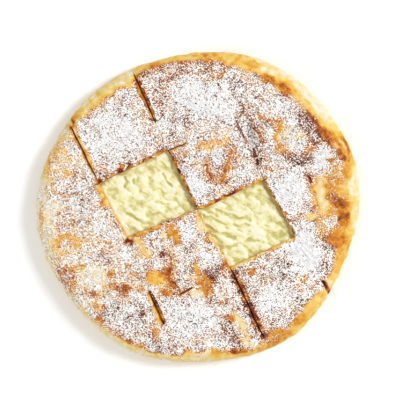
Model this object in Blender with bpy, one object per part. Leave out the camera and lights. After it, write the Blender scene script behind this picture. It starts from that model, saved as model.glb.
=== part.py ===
"""Custard feteer: a round pie of flaky pastry with a custard filling, cut in a grid.

Six knife cuts, three each way, divide the pie into sixteen slices that still lie
together. Two of the four middle slices have lost their top crust, so the custard
shows there in two square windows. A slice at the rim has one crust that goes under,
round and over its custard; a middle slice has a separate base and top.

The pie lies on its flat base. The origin is the middle of the base, +Z is up, and
sizes are in millimetres until a mesh is made, which is in metres.
"""

import math

import bmesh
import bpy
from mathutils import Matrix, Vector, noise

MM = 0.001

# The whole pie, seen from above: a round that was pulled out of true by hand.
MEAN_RADIUS = 157.8
OUTLINE_SWELLS = (  # lobes round the rim, swell, direction of one lobe's crest in degrees
    (1, 0.8, 10),
    (2, 3.0, 22),
    (3, 1.6, 51),
    (5, 0.8, 18),
    (6, 1.5, 6),
)

# The layers, from the table up.
BASE_CRUST = 8.0
CUSTARD = 12.0
TOP_CRUST = 7.6
CLEARANCE = 0.3  # between a slice's custard and its crust

# The rim: a solid wall of dough round the custard, rounded over and tucked under.
RIM_WALL = 16.0
SHOULDER = 14.0
WIDEST_HEIGHT = 10.5
TUCK = 5.5
SHOULDER_RINGS = 4
TUCK_RINGS = 3

# Puffs and dents baked into the top: x, y, half length, half width, height, turn.
PUFFS = (
    (12, 112, 36, 26, 2.2, 0),
    (52, 66, 26, 7, -2.6, -72),
    (60, 72, 19, 6, 2.4, -62),
    (72, 68, 20, 9, 1.2, -70),
    (95, 70, 17, 15, 2.0, 30),
    (136, 27, 16, 10, 1.5, 60),
    (92, 18, 20, 15, 1.6, 20),
    (112, -22, 14, 10, -1.2, 40),
    (86, -58, 30, 22, 2.0, 25),
    (41, -122, 24, 13, 1.5, 12),
    (-8, -112, 28, 17, 1.9, -4),
    (-34, -70, 24, 9, -1.5, -65),
    (-24, -30, 9, 13, 1.6, -20),
    (14, 27, 12, 14, -1.4, 10),
    (-84, -76, 14, 10, 1.5, -40),
    (-128, -36, 13, 10, 2.0, 25),
    (-104, -8, 18, 13, 1.4, 60),
    (-123, 47, 15, 20, 1.5, -20),
    (-78, 70, 32, 26, 1.3, 25),
)
UNEVENNESS = (  # spacing of the bumps, their height, and the layer of noise they follow
    (31.0, 1.0, 3.7),
    (14.0, 0.5, 8.1),
)

# The cuts run in a grid that is turned against the frame. "Across" cuts are lines of
# growing q, "along" cuts of growing p. A station is: place along the cut, how far to
# the side its middle lies, and how wide the knife left it.
GRID_TURN = 25.5
CUT_END = 190.0
CUT_STEP = 9.0
ACROSS_CUTS = {
    "1": ((-160, -81, 1.2), (-86, -81.3, 2.4), (-53, -80.2, 1.6), (4, -76.5, 0.6), (68, -78.9, 1.4),
          (150, -80, 1.6)),
    "2": ((-154, 4.5, 1.0), (-130, 2, 2.6), (-68, 2.8, 1.4), (3, -2.2, 0.8), (64, -3.2, 1.0),
          (110, -1.6, 2.4), (152, 0, 3.5)),
    "3": ((-150, 82, 1.6), (-122, 80.6, 1.8), (-67, 74, 0.7), (0, 70.8, 0.8), (52, 70.8, 1.0),
          (140, 70, 0.6)),
}
ALONG_CUTS = {
    "a": ((-140, 67.5, 0.6), (-85, 64.2, 1.2), (-3, 64.1, 0.7), (20, 62.6, 0.6), (70, 63.7, 0.5),
          (150, 63, 0.5)),
    "b": ((-160, -3, 1.6), (-134, -1.9, 2.0), (-76, 3.7, 0.6), (-3, 0, 0.8), (5, -3.3, 0.8),
          (71, -3.3, 0.8), (150, -3, 0.5)),
    "c": ((-140, -68, 0.5), (-48, -70, 1.2), (3, -67.3, 0.7), (74, -67.2, 0.8), (97, -60.5, 0.9),
          (140, -62, 0.6)),
}
ROWS = "abcd"  # from the far side of the grid to the near side
COLUMNS = "1234"  # from its left to its right
WINDOWS = ("b2", "c3")
BLADE_BOTTOM = -6.0
BLADE_TOP = 50.0
WELD_DISTANCE = 0.06
SETTLE_STEPS = 8

# The custard that shows in the windows: spooned lumps, a little under the crust's top.
WINDOW_CUSTARD_TOP = 19.2
LUMPS = (13.0, 1.5, 1.3)  # spacing, height, layer of noise
LUMP_GRID = (16, 14)
WALL_DIP = 1.2
WALL_DIP_REACH = 0.07  # of the window's width

GRID_CELLS = 36  # squares along each side of the grid that covers the top
CUSTARD_SIDES = 56
SHARP_ANGLE = 40.0

CRUST_COLOUR = (0.80, 0.55, 0.28)
CRUST_ROUGHNESS = 0.75
CUSTARD_COLOUR = (0.84, 0.80, 0.42)
CUSTARD_ROUGHNESS = 0.35

TURN = Matrix.Rotation(math.radians(GRID_TURN), 2)


def smooth(t):
    """A blend from 0 to 1 with level ends."""
    t = min(max(t, 0.0), 1.0)
    return t * t * (3 - 2 * t)


def outline_radius(angle):
    """The pie's radius in a direction."""
    radius = MEAN_RADIUS
    for lobes, swell, crest in OUTLINE_SWELLS:
        radius += swell * math.cos(lobes * (angle - math.radians(crest)))
    return radius


def puff(x, y, shape):
    """The height that one puff adds at a place."""
    cx, cy, half_length, half_width, height, turn = shape
    across = Matrix.Rotation(-math.radians(turn), 2) @ Vector((x - cx, y - cy))
    distance = math.hypot(across.x / half_length, across.y / half_width)
    return height * (1 - smooth(distance))


def waves(x, y, bumps):
    """The height that gentle unevenness adds at a place."""
    spacing, height, layer = bumps
    return height * noise.noise(Vector((x / spacing, y / spacing, layer)))


def top_height(x, y):
    """The height of the top crust's surface."""
    height = BASE_CRUST + CUSTARD + TOP_CRUST
    height += sum(waves(x, y, bumps) for bumps in UNEVENNESS)
    return height + sum(puff(x, y, shape) for shape in PUFFS)


def square_to_disc(u, v):
    """Carries a square's grid onto a disc, ring by ring: returns radius and angle."""
    if u == 0 and v == 0:
        return 0.0, 0.0
    if abs(u) > abs(v):
        radius, angle = u, math.pi / 4 * v / u
    else:
        radius, angle = v, math.pi / 2 - math.pi / 4 * u / v
    return (radius, angle) if radius > 0 else (-radius, angle + math.pi)


def mesh_object(name, shape, material=None):
    """Turns a bmesh in millimetres into an object in metres."""
    bmesh.ops.recalc_face_normals(shape, faces=shape.faces)
    bmesh.ops.scale(shape, vec=Vector((MM, MM, MM)), verts=shape.verts)
    mesh = bpy.data.meshes.new(name)
    shape.to_mesh(mesh)
    shape.free()
    if material:
        mesh.materials.append(material)
    thing = bpy.data.objects.new(name, mesh)
    bpy.context.scene.collection.objects.link(thing)
    return thing


def disc_grid(shape, cells, inset, height):
    """Adds a gridded disc that stays an inset inside the outline: returns its rim in order."""
    grid = {}
    for i in range(cells + 1):
        for j in range(cells + 1):
            radius, angle = square_to_disc(2 * i / cells - 1, 2 * j / cells - 1)
            radius *= outline_radius(angle) - inset
            x, y = radius * math.cos(angle), radius * math.sin(angle)
            grid[i, j] = shape.verts.new((x, y, height(x, y)))
    for i in range(cells):
        for j in range(cells):
            shape.faces.new((grid[i, j], grid[i + 1, j], grid[i + 1, j + 1], grid[i, j + 1]))
    sides = [(i, 0) for i in range(cells)] + [(cells, j) for j in range(cells)]
    sides += [(i, cells) for i in range(cells, 0, -1)] + [(0, j) for j in range(cells, 0, -1)]
    return [grid[place] for place in sides]


def ring_below(shape, ring, place):
    """Adds a ring under another and joins them: place gives a point from angle and old height."""
    lower = []
    for vert, top in ring:
        angle = math.atan2(vert.co.y, vert.co.x)
        lower.append((shape.verts.new(place(angle, top)), top))
    for k in range(len(ring)):
        j = (k + 1) % len(ring)
        shape.faces.new((ring[k][0], lower[k][0], lower[j][0], ring[j][0]))
    return lower


def uncut_pie():
    """The pie's outer form before it is cut: relief on top, a rounded rim, a flat base."""
    shape = bmesh.new()
    rim = disc_grid(shape, GRID_CELLS, SHOULDER, top_height)
    ring = [(vert, vert.co.z) for vert in rim]

    def shoulder(turn):
        def place(angle, top):
            radius = outline_radius(angle) - SHOULDER * (1 - math.sin(turn))
            height = WIDEST_HEIGHT + (top - WIDEST_HEIGHT) * math.cos(turn)
            return radius * math.cos(angle), radius * math.sin(angle), height
        return place

    def tuck(turn):
        def place(angle, top):
            radius = outline_radius(angle) - TUCK * (1 - math.cos(turn))
            height = WIDEST_HEIGHT * (1 - math.sin(turn))
            return radius * math.cos(angle), radius * math.sin(angle), height
        return place

    for k in range(SHOULDER_RINGS):
        ring = ring_below(shape, ring, shoulder(math.pi / 2 * (k + 1) / SHOULDER_RINGS))
    for k in range(TUCK_RINGS):
        ring = ring_below(shape, ring, tuck(math.pi / 2 * (k + 1) / TUCK_RINGS))
    shape.faces.new([vert for vert, top in ring])
    return shape


def flat_disc(inset, bottom, top):
    """A plain disc with the pie's outline, an inset inside it."""
    shape = bmesh.new()
    count = CUSTARD_SIDES
    rings = []
    for height in (bottom, top):
        ring = []
        for k in range(count):
            angle = 2 * math.pi * k / count
            radius = outline_radius(angle) - inset
            ring.append(shape.verts.new((radius * math.cos(angle), radius * math.sin(angle), height)))
        rings.append(ring)
        shape.faces.new(ring)
    for k in range(count):
        j = (k + 1) % count
        shape.faces.new((rings[0][k], rings[0][j], rings[1][j], rings[1][k]))
    return shape


def cut_at(stations, place):
    """Where a cut's middle lies and how wide it is, at a place along it."""
    place = min(max(place, stations[0][0]), stations[-1][0])
    for (start, side, width), (end, next_side, next_width) in zip(stations, stations[1:]):
        if place <= end:
            t = smooth((place - start) / (end - start))
            return side + t * (next_side - side), width + t * (next_width - width)
    return stations[-1][1:]


def blade(name, stations, across):
    """A thin slab that follows a cut from one side of the pie to the other."""
    shape = bmesh.new()
    steps = round(2 * CUT_END / CUT_STEP)
    sections = []
    for k in range(steps + 1):
        place = -CUT_END + 2 * CUT_END * k / steps
        side, width = cut_at(stations, place)
        section = []
        for offset, height in ((-1, BLADE_BOTTOM), (1, BLADE_BOTTOM), (1, BLADE_TOP), (-1, BLADE_TOP)):
            edge = side + offset * width / 2
            flat = TURN @ Vector((edge, place) if across else (place, edge))
            section.append(shape.verts.new((flat.x, flat.y, height)))
        sections.append(section)
    for one, two in zip(sections, sections[1:]):
        for k in range(4):
            j = (k + 1) % 4
            shape.faces.new((one[k], one[j], two[j], two[k]))
    shape.faces.new(sections[0])
    shape.faces.new(sections[-1])
    cutter = mesh_object(name, shape)
    cutter.hide_render = True
    cutter.display_type = "WIRE"
    return cutter


def weld(thing):
    """Joins the corners that a cut left almost on each other."""
    shape = bmesh.new()
    shape.from_mesh(thing.data)
    bmesh.ops.remove_doubles(shape, verts=shape.verts, dist=WELD_DISTANCE * MM)
    shape.to_mesh(thing.data)
    shape.free()


def cut_away(thing, cutters):
    """Takes each cutter out of an object, and keeps the result as its mesh."""
    for cutter in cutters:
        modifier = thing.modifiers.new(cutter.name, "BOOLEAN")
        modifier.operation = "DIFFERENCE"
        modifier.solver = "EXACT"
        modifier.object = cutter
    evaluated = thing.evaluated_get(bpy.context.evaluated_depsgraph_get())
    mesh = bpy.data.meshes.new_from_object(evaluated)
    thing.modifiers.clear()
    thing.data = mesh
    weld(thing)


def slices_of(thing):
    """Divides an object that was cut into its loose pieces."""
    bpy.ops.object.select_all(action="DESELECT")
    thing.select_set(True)
    bpy.context.view_layer.objects.active = thing
    bpy.ops.mesh.separate(type="LOOSE")
    return list(bpy.context.selected_objects)


def cell_of(place):
    """The grid cell, such as a1, that a point in metres lies in."""
    flat = TURN.transposed() @ Vector((place.x / MM, place.y / MM))
    column = sum(flat.x > cut_at(stations, flat.y)[0] for stations in ACROSS_CUTS.values())
    row = sum(flat.y < cut_at(stations, flat.x)[0] for stations in ALONG_CUTS.values())
    return ROWS[row] + COLUMNS[column]


def middle_of(piece):
    """The middle of a piece's box."""
    corners = [Vector(corner) for corner in piece.bound_box]
    return sum(corners, Vector()) / len(corners)


def rename(piece, name):
    """Gives a piece and its mesh one name."""
    piece.name = name
    piece.data.name = name


def between(low_cut, high_cut, share):
    """A share of the way from one cut's inner edge to another's."""
    low = low_cut[0] + low_cut[1] / 2
    high = high_cut[0] - high_cut[1] / 2
    return low + share * (high - low)


def window_place(cell, u, v):
    """A point in a window cell, with u and v from 0 to 1 between its cuts."""
    row, column = ROWS.index(cell[0]), COLUMNS.index(cell[1])
    left, right = (ACROSS_CUTS[name] for name in list(ACROSS_CUTS)[column - 1:column + 1])
    far, near = (ALONG_CUTS[name] for name in list(ALONG_CUTS)[row - 1:row + 1])
    p = q = 0.0
    for _ in range(SETTLE_STEPS):
        p = between(cut_at(left, q), cut_at(right, q), u)
        q = between(cut_at(near, p), cut_at(far, p), v)
    return TURN @ Vector((p, q))


def window_custard(cell, material):
    """The custard of a slice without a top: its surface is spooned into soft lumps."""
    shape = bmesh.new()
    columns, rows = LUMP_GRID
    grid = {}
    for i in range(columns + 1):
        for j in range(rows + 1):
            u, v = i / columns, j / rows
            flat = window_place(cell, u, v)
            wall = min(u, 1 - u, v, 1 - v)
            height = WINDOW_CUSTARD_TOP + waves(flat.x, flat.y, LUMPS)
            height -= WALL_DIP * (1 - smooth(wall / WALL_DIP_REACH))
            grid[i, j] = shape.verts.new((flat.x, flat.y, height))
    for i in range(columns):
        for j in range(rows):
            shape.faces.new((grid[i, j], grid[i + 1, j], grid[i + 1, j + 1], grid[i, j + 1]))
    sides = [(i, 0) for i in range(columns)] + [(columns, j) for j in range(rows)]
    sides += [(i, rows) for i in range(columns, 0, -1)] + [(0, j) for j in range(rows, 0, -1)]
    bottom = []
    for place in sides:
        top = grid[place].co
        bottom.append(shape.verts.new((top.x, top.y, BASE_CRUST + CLEARANCE)))
    for k, place in enumerate(sides):
        j = (k + 1) % len(sides)
        shape.faces.new((grid[place], bottom[k], bottom[j], grid[sides[j]]))
    shape.faces.new(bottom)
    return mesh_object("custard_" + cell, shape, material)


def material(name, colour, roughness):
    """A plain opaque finish."""
    finish = bpy.data.materials.new(name)
    finish.use_nodes = True
    surface = finish.node_tree.nodes["Principled BSDF"]
    surface.inputs["Base Color"].default_value = (*colour, 1.0)
    surface.inputs["Roughness"].default_value = roughness
    surface.inputs["Metallic"].default_value = 0.0
    return finish


def crust_slices(blades, finish):
    """The pastry of all slices, without the tops of the two windows."""
    crust = mesh_object("crust", uncut_pie(), finish)
    hollow = mesh_object("hollow", flat_disc(RIM_WALL, BASE_CRUST, BASE_CRUST + CUSTARD))
    hollow.hide_render = True
    hollow.display_type = "WIRE"
    cut_away(crust, [hollow, *blades])
    bpy.data.objects.remove(hollow)
    kept = []
    for piece in slices_of(crust):
        middle = middle_of(piece)
        cell = cell_of(middle)
        if cell[0] not in "bc" or cell[1] not in "23":
            rename(piece, "crust_" + cell)
        elif middle.z < (BASE_CRUST + CUSTARD / 2) * MM:
            rename(piece, "base_" + cell)
        elif cell in WINDOWS:
            bpy.data.objects.remove(piece)
            continue
        else:
            rename(piece, "top_" + cell)
        kept.append(piece)
    return kept


def custard_slices(blades, finish):
    """The custard of all slices, lumpy where it shows in a window."""
    low, high = BASE_CRUST + CLEARANCE, BASE_CRUST + CUSTARD - CLEARANCE
    custard = mesh_object("custard", flat_disc(RIM_WALL + CLEARANCE, low, high), finish)
    cut_away(custard, blades)
    kept = []
    for piece in slices_of(custard):
        cell = cell_of(middle_of(piece))
        if cell in WINDOWS:
            bpy.data.objects.remove(piece)
        else:
            rename(piece, "custard_" + cell)
            kept.append(piece)
    return kept + [window_custard(cell, finish) for cell in WINDOWS]


def centre(pieces):
    """Moves the pieces so that the middle of the whole pie's base is the origin."""
    corners = [vert.co for piece in pieces for vert in piece.data.vertices]
    middle_x = (min(co.x for co in corners) + max(co.x for co in corners)) / 2
    middle_y = (min(co.y for co in corners) + max(co.y for co in corners)) / 2
    for piece in pieces:
        piece.data.transform(Matrix.Translation((-middle_x, -middle_y, 0)))


def build():
    for thing in list(bpy.data.objects):
        bpy.data.objects.remove(thing)
    crust_finish = material("baked_crust", CRUST_COLOUR, CRUST_ROUGHNESS)
    custard_finish = material("custard_cream", CUSTARD_COLOUR, CUSTARD_ROUGHNESS)
    blades = [blade("across_" + name, stations, True) for name, stations in ACROSS_CUTS.items()]
    blades += [blade("along_" + name, stations, False) for name, stations in ALONG_CUTS.items()]
    pieces = crust_slices(blades, crust_finish) + custard_slices(blades, custard_finish)
    for cutter in blades:
        bpy.data.objects.remove(cutter)
    centre(pieces)
    for piece in pieces:
        piece.data.shade_smooth()
        piece.data.set_sharp_from_angle(angle=math.radians(SHARP_ANGLE))


build()
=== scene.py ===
"""Custard feteer: the baked, sugared look of a round pastry pie cut in a grid.

The crust is modelled whole, with its puffs, folds and browning, hollowed for the
custard and then cut with six thin blades into its slices. The custard that shows in
the two windows is spooned in between the cuts, and powdered sugar is dusted on top.

Places on the pie are in millimetres from its middle, +X right and +Y away, as fields
of numpy arrays; a mesh is in metres.
"""

import math
from collections import namedtuple

import bpy
import numpy as np
from bpy.props import FloatProperty, FloatVectorProperty, IntProperty, PointerProperty
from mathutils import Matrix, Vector, noise


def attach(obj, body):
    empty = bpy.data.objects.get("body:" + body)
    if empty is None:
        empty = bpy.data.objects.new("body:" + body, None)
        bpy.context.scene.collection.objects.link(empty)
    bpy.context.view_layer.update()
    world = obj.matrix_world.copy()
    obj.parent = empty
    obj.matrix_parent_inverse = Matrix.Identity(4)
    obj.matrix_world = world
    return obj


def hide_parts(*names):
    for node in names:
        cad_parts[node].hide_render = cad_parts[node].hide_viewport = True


bl_info = {
    "name": "Custard Feteer",
    "version": (1, 0, 0),
    "blender": (4, 5, 0),
    "location": "View3D > Sidebar > Feteer",
    "description": "Bakes, fills and sugars a round custard pastry pie cut in a grid",
    "category": "Add Mesh",
}

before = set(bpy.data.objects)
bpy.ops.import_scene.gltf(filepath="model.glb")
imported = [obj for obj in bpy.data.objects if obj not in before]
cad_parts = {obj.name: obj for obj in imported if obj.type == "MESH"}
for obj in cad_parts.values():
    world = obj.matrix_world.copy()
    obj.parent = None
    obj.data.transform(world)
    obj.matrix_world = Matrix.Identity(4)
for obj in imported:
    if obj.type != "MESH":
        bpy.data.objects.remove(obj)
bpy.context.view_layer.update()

MM = 0.001
BODY = "root"

# What a table's rows say. Lengths are in millimetres, and turns in degrees.
Puff = namedtuple("Puff", "x y half_length half_width height turn")
Edge = namedtuple("Edge", "cut side start end reach sink ragged browning sugar")
Patch = namedtuple("Patch", "x y half_length half_width turn browning sugar")
Fold = namedtuple("Fold", "run half_width height browning sugar")
Curds = namedtuple("Curds", "count half_length half_width height turn seed")
Curd = namedtuple("Curd", "x y half_length half_width turn")
SpoonMark = namedtuple("SpoonMark", "window run half_width height")
Layer = namedtuple("Layer", "height spacing seed")  # of random unevenness
RimLayer = namedtuple("RimLayer", "height along across seed")  # the same round the rim
# Noise in a finish, with its spacing in metres.
Pattern = namedtuple(
    "Pattern", "strength spacing detail roughness stretch turn", defaults=((1, 1, 1), 0.0)
)

# The pie's outline: mean radius, then lobes, swell and direction of one lobe's crest.
MEAN_RADIUS = 157.8
OUTLINE_SWELLS = ((1, 0.8, 10), (2, 3.0, 22), (3, 1.6, 51), (5, 0.8, 18), (6, 1.5, 6))
# The rim: its wall round the custard, its rounded shoulder, the height at which it is widest,
# and how far its foot is tucked in.
RIM_WALL = 16.0
SHOULDER = 14.0
WIDEST_HEIGHT = 10.5
TUCK = 5.5

# Puffs and dents of the top.
PUFFS = tuple(map(Puff._make, (
    (12, 112, 36, 26, 2.2, 0),
    (52, 66, 26, 7, -2.6, -72),
    (60, 72, 19, 6, 2.4, -62),
    (72, 68, 20, 9, 1.2, -70),
    (95, 70, 17, 15, 2.0, 30),
    (136, 27, 16, 10, 1.5, 60),
    (92, 18, 20, 15, 1.6, 20),
    (112, -22, 14, 10, -1.2, 40),
    (86, -58, 30, 22, 2.0, 25),
    (41, -122, 24, 13, 1.5, 12),
    (-8, -112, 28, 17, 1.9, -4),
    (-34, -70, 24, 9, -1.5, -65),
    (-24, -30, 9, 13, 1.6, -20),
    (14, 27, 12, 14, -1.4, 10),
    (-84, -76, 14, 10, 1.5, -40),
    (-128, -36, 13, 10, 2.0, 25),
    (-104, -8, 18, 13, 1.4, 60),
    (-123, 47, 15, 20, 1.5, -20),
    (-78, 70, 32, 26, 1.3, 25),
)))
UNEVENNESS = ((31.0, 1.0, 3.7), (14.0, 0.5, 8.1))  # spacing, height, slice of the noise
SOFT_CEILING, CEILING_ROOM = 29.2, 1.5  # the highest puffs level off in this room above

# The finer skin, in layers of unevenness: height, spacing and seed.
SKIN_RELIEF = (Layer(1.0, 9.5, 11), Layer(0.45, 4.6, 12), Layer(0.16, 2.2, 13), Layer(0.08, 1.3, 14))
BLISTERS = Layer(1.1, 6.5, 15)
BLISTER_START = 0.25  # of the unevenness: the skin stays flat below it
NOISE_PERIOD = 256  # bumps, after which unevenness repeats

# The rim's own relief, in layers: height, spacing along and across the rim, and seed.
RIM_FOLDS = (RimLayer(0.7, 17, 4.2, 17), RimLayer(0.5, 15, 7.5, 18))
RIM_PLEATS = RimLayer(0.35, 5, 15, 23)
RIM_CREASES = RimLayer(0.8, 25, 5.0, 19)
CREASE_WIDTH = 0.16  # in the creases' own unevenness
# Where the rim is creased: more of it with a larger share.
CREASED_STRETCHES, CREASED_SHARE = RimLayer(2.2, 19, 19, 20), 0.4
RIM_SETS_IN = (-5.0, 2.0)  # outward of where the shoulder starts

# The cut grid. A station is: place along the cut, how far to the side, and how wide.
GRID_TURN = math.radians(25.5)
CUT_END = 190.0
HIDDEN = 0.1  # where sugar and dough have closed a cut again
CUTS = {
    "1": ((-160, -81, HIDDEN), (-91, -81.3, HIDDEN), (-88, -81.3, 1.2), (-83, -81.3, 3.4),
          (-76, -81, 3.0), (-60, -80.2, 1.8), (-53, -80, HIDDEN), (4, -76.5, 0.3), (64, -78.5, HIDDEN),
          (74, -79, 1.3), (128, -80.2, 1.9), (150, -80, 2.2)),
    "2": ((-154, 4.5, HIDDEN), (-145, 3.4, HIDDEN), (-140, 3, 1.1), (-128, 2.6, 1.8), (-84, 2.8, 2.1),
          (-72, 2.8, 1.3), (-67, 2.6, 0.5), (3, -2.2, 0.8), (64, -3.2, 0.3), (90, -2.2, HIDDEN),
          (97, -1.9, 1.2), (110, -1.6, 2.2), (135, -1.2, 3.4), (145, -1.0, 3.0), (151, -0.8, 0.8)),
    "3": ((-150, 82, 0.9), (-132, 81.5, 1.3), (-121, 80.6, 1.2), (-116, 80, HIDDEN), (-70, 74, HIDDEN),
          (-66, 74, 0.6), (0, 70.8, 0.7), (10, 70.8, HIDDEN), (42, 71, 0.3), (46, 71, 1.0),
          (58, 71, 0.9), (63, 71, HIDDEN), (140, 70, HIDDEN)),
    "a": ((-140, 67.5, HIDDEN), (-106, 66.0, HIDDEN), (-100, 65.0, 0.5), (-90, 64.2, 0.4),
          (-84, 64.2, 0.4), (-3, 64.1, 0.6), (14, 62.8, 0.6), (20, 62.6, HIDDEN), (70, 63.7, HIDDEN),
          (150, 63, HIDDEN)),
    "b": ((-160, -3, HIDDEN), (-140, -2, HIDDEN), (-116, 1, HIDDEN), (-80, 3.7, HIDDEN),
          (-74, 3.7, 0.6), (-3, 0, 0.8), (5, -3.3, 0.8), (71, -3.3, 0.6), (76, -3, HIDDEN),
          (150, -3, HIDDEN)),
    "c": ((-140, -68, HIDDEN), (-56, -70, HIDDEN), (-50, -70, 1.6), (-42, -69.5, 1.4), (-36, -69, HIDDEN),
          (0, -67.3, HIDDEN), (4, -67.3, 0.6), (74, -67.2, 0.6), (86, -62, HIDDEN), (92, -61, 0.6),
          (102, -60.5, 0.5), (110, -61, HIDDEN), (140, -62, HIDDEN)),
}
ACROSS, ALONG = "123", "abc"  # cuts of growing q, and cuts of growing p
ROWS, COLUMNS = "abcd", "1234"
WINDOWS = ("b2", "c3")
WANDER = (9.0, 0.55)  # spacing and height of a cut's own unsteadiness
WALL_FOOT, WALL_TOP = 20.5, 27.0  # heights between which a cut opens
# A cut's own letter is added to the seeds of what is random beside it.
FINE_BITES = Layer(0.12, 2.6, 90)
RAGGED_SPACING, RAGGED_SEED = 3.2, 40
SIDE_APART = 7.3  # keeps the bites of a cut's two walls from being the same

# Edges beside the cuts: cut, side, from, to, how far the edge reaches in, how far it sinks,
# how ragged its wall is, then its browning and its sugar.
EDGES = tuple(map(Edge._make, (
    ("2", -1, 96, 146, 1.8, 1.4, 0.3, 0.66, 0.0),
    ("2", 1, 96, 146, 2.0, 0.8, 0.2, 0.82, 0.05),
    ("2", -1, -146, -66, 3.0, 0.9, 0.6, 0.86, 0.1),
    ("2", 1, -146, -66, 3.6, 0.9, 0.6, 0.82, 0.1),
    ("1", 1, 74, 160, 2.4, 0.9, 0.2, 0.42, 0.0),
    ("1", -1, 74, 160, 1.4, 0.6, 0.2, 0.6, 0.1),
    ("1", -1, -90, -54, 2.4, 1.0, 0.9, 0.44, 0.02),
    ("1", 1, -90, -54, 1.8, 0.9, 0.7, 0.84, 0.05),
    ("a", 1, -82, -68, 3.4, 3.0, 1.2, 0.8, 0.0),
    ("a", 1, -66, -60, 1.8, 1.5, 2.0, 0.45, 0.0),
    ("a", 1, -58, -41, 4.8, 3.4, 2.6, 0.82, 0.0),
    ("a", 1, -37, -4, 2.6, 2.4, 1.2, 0.68, 0.0),
    ("1", -1, 2, 62, 1.8, 1.6, 0.6, 0.3, 0.05),
    ("1", -1, 40, 62, 5.0, 1.8, 0.8, 0.44, 0.02),
    ("2", 1, 0, 64, 2.2, 1.0, 0.3, 0.72, 0.05),
    ("b", -1, -76, -40, 2.4, 1.4, 0.8, 0.58, 0.05),
    ("b", -1, -36, -2, 2.0, 1.2, 0.5, 0.66, 0.2),
    ("b", 1, 0, 20, 2.6, 2.4, 0.4, 0.5, 0.02),
    ("b", 1, 16, 50, 3.0, 2.6, 0.6, 0.7, 0.02),
    ("b", 1, 50, 74, 2.6, 2.2, 0.6, 0.46, 0.05),
    ("2", -1, -68, -3, 3.0, 1.6, 0.5, 0.34, 0.1),
    ("3", 1, -66, -3, 1.4, 0.6, 0.2, 0.8, 0.2),
    ("c", -1, 2, 74, 2.4, 1.4, 0.7, 0.3, 0.05),
    ("a", -1, -2, 18, 1.8, 0.8, 0.2, 0.6, 0.15),
    ("a", 1, -2, 18, 1.2, 0.5, 0.2, 0.75, 0.3),
    ("3", 1, -148, -118, 1.4, 0.5, 0.2, 0.8, 0.05),
    ("3", -1, -148, -118, 1.4, 0.5, 0.2, 0.8, 0.05),
)))
EDGE_FADE = 5.0  # over which an edge begins and ends, along its cut
EDGE_WANDER = Layer(0.45, 6.0, 60)
EDGE_REACHES = 3.0  # an edge ends at this many times its reach
EDGE_SLACK = 0.2  # how far past the cut's middle its edge may lie
EDGE_BAKE = (0.6, 1.4)  # its browning fades out between these parts of its reach

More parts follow.
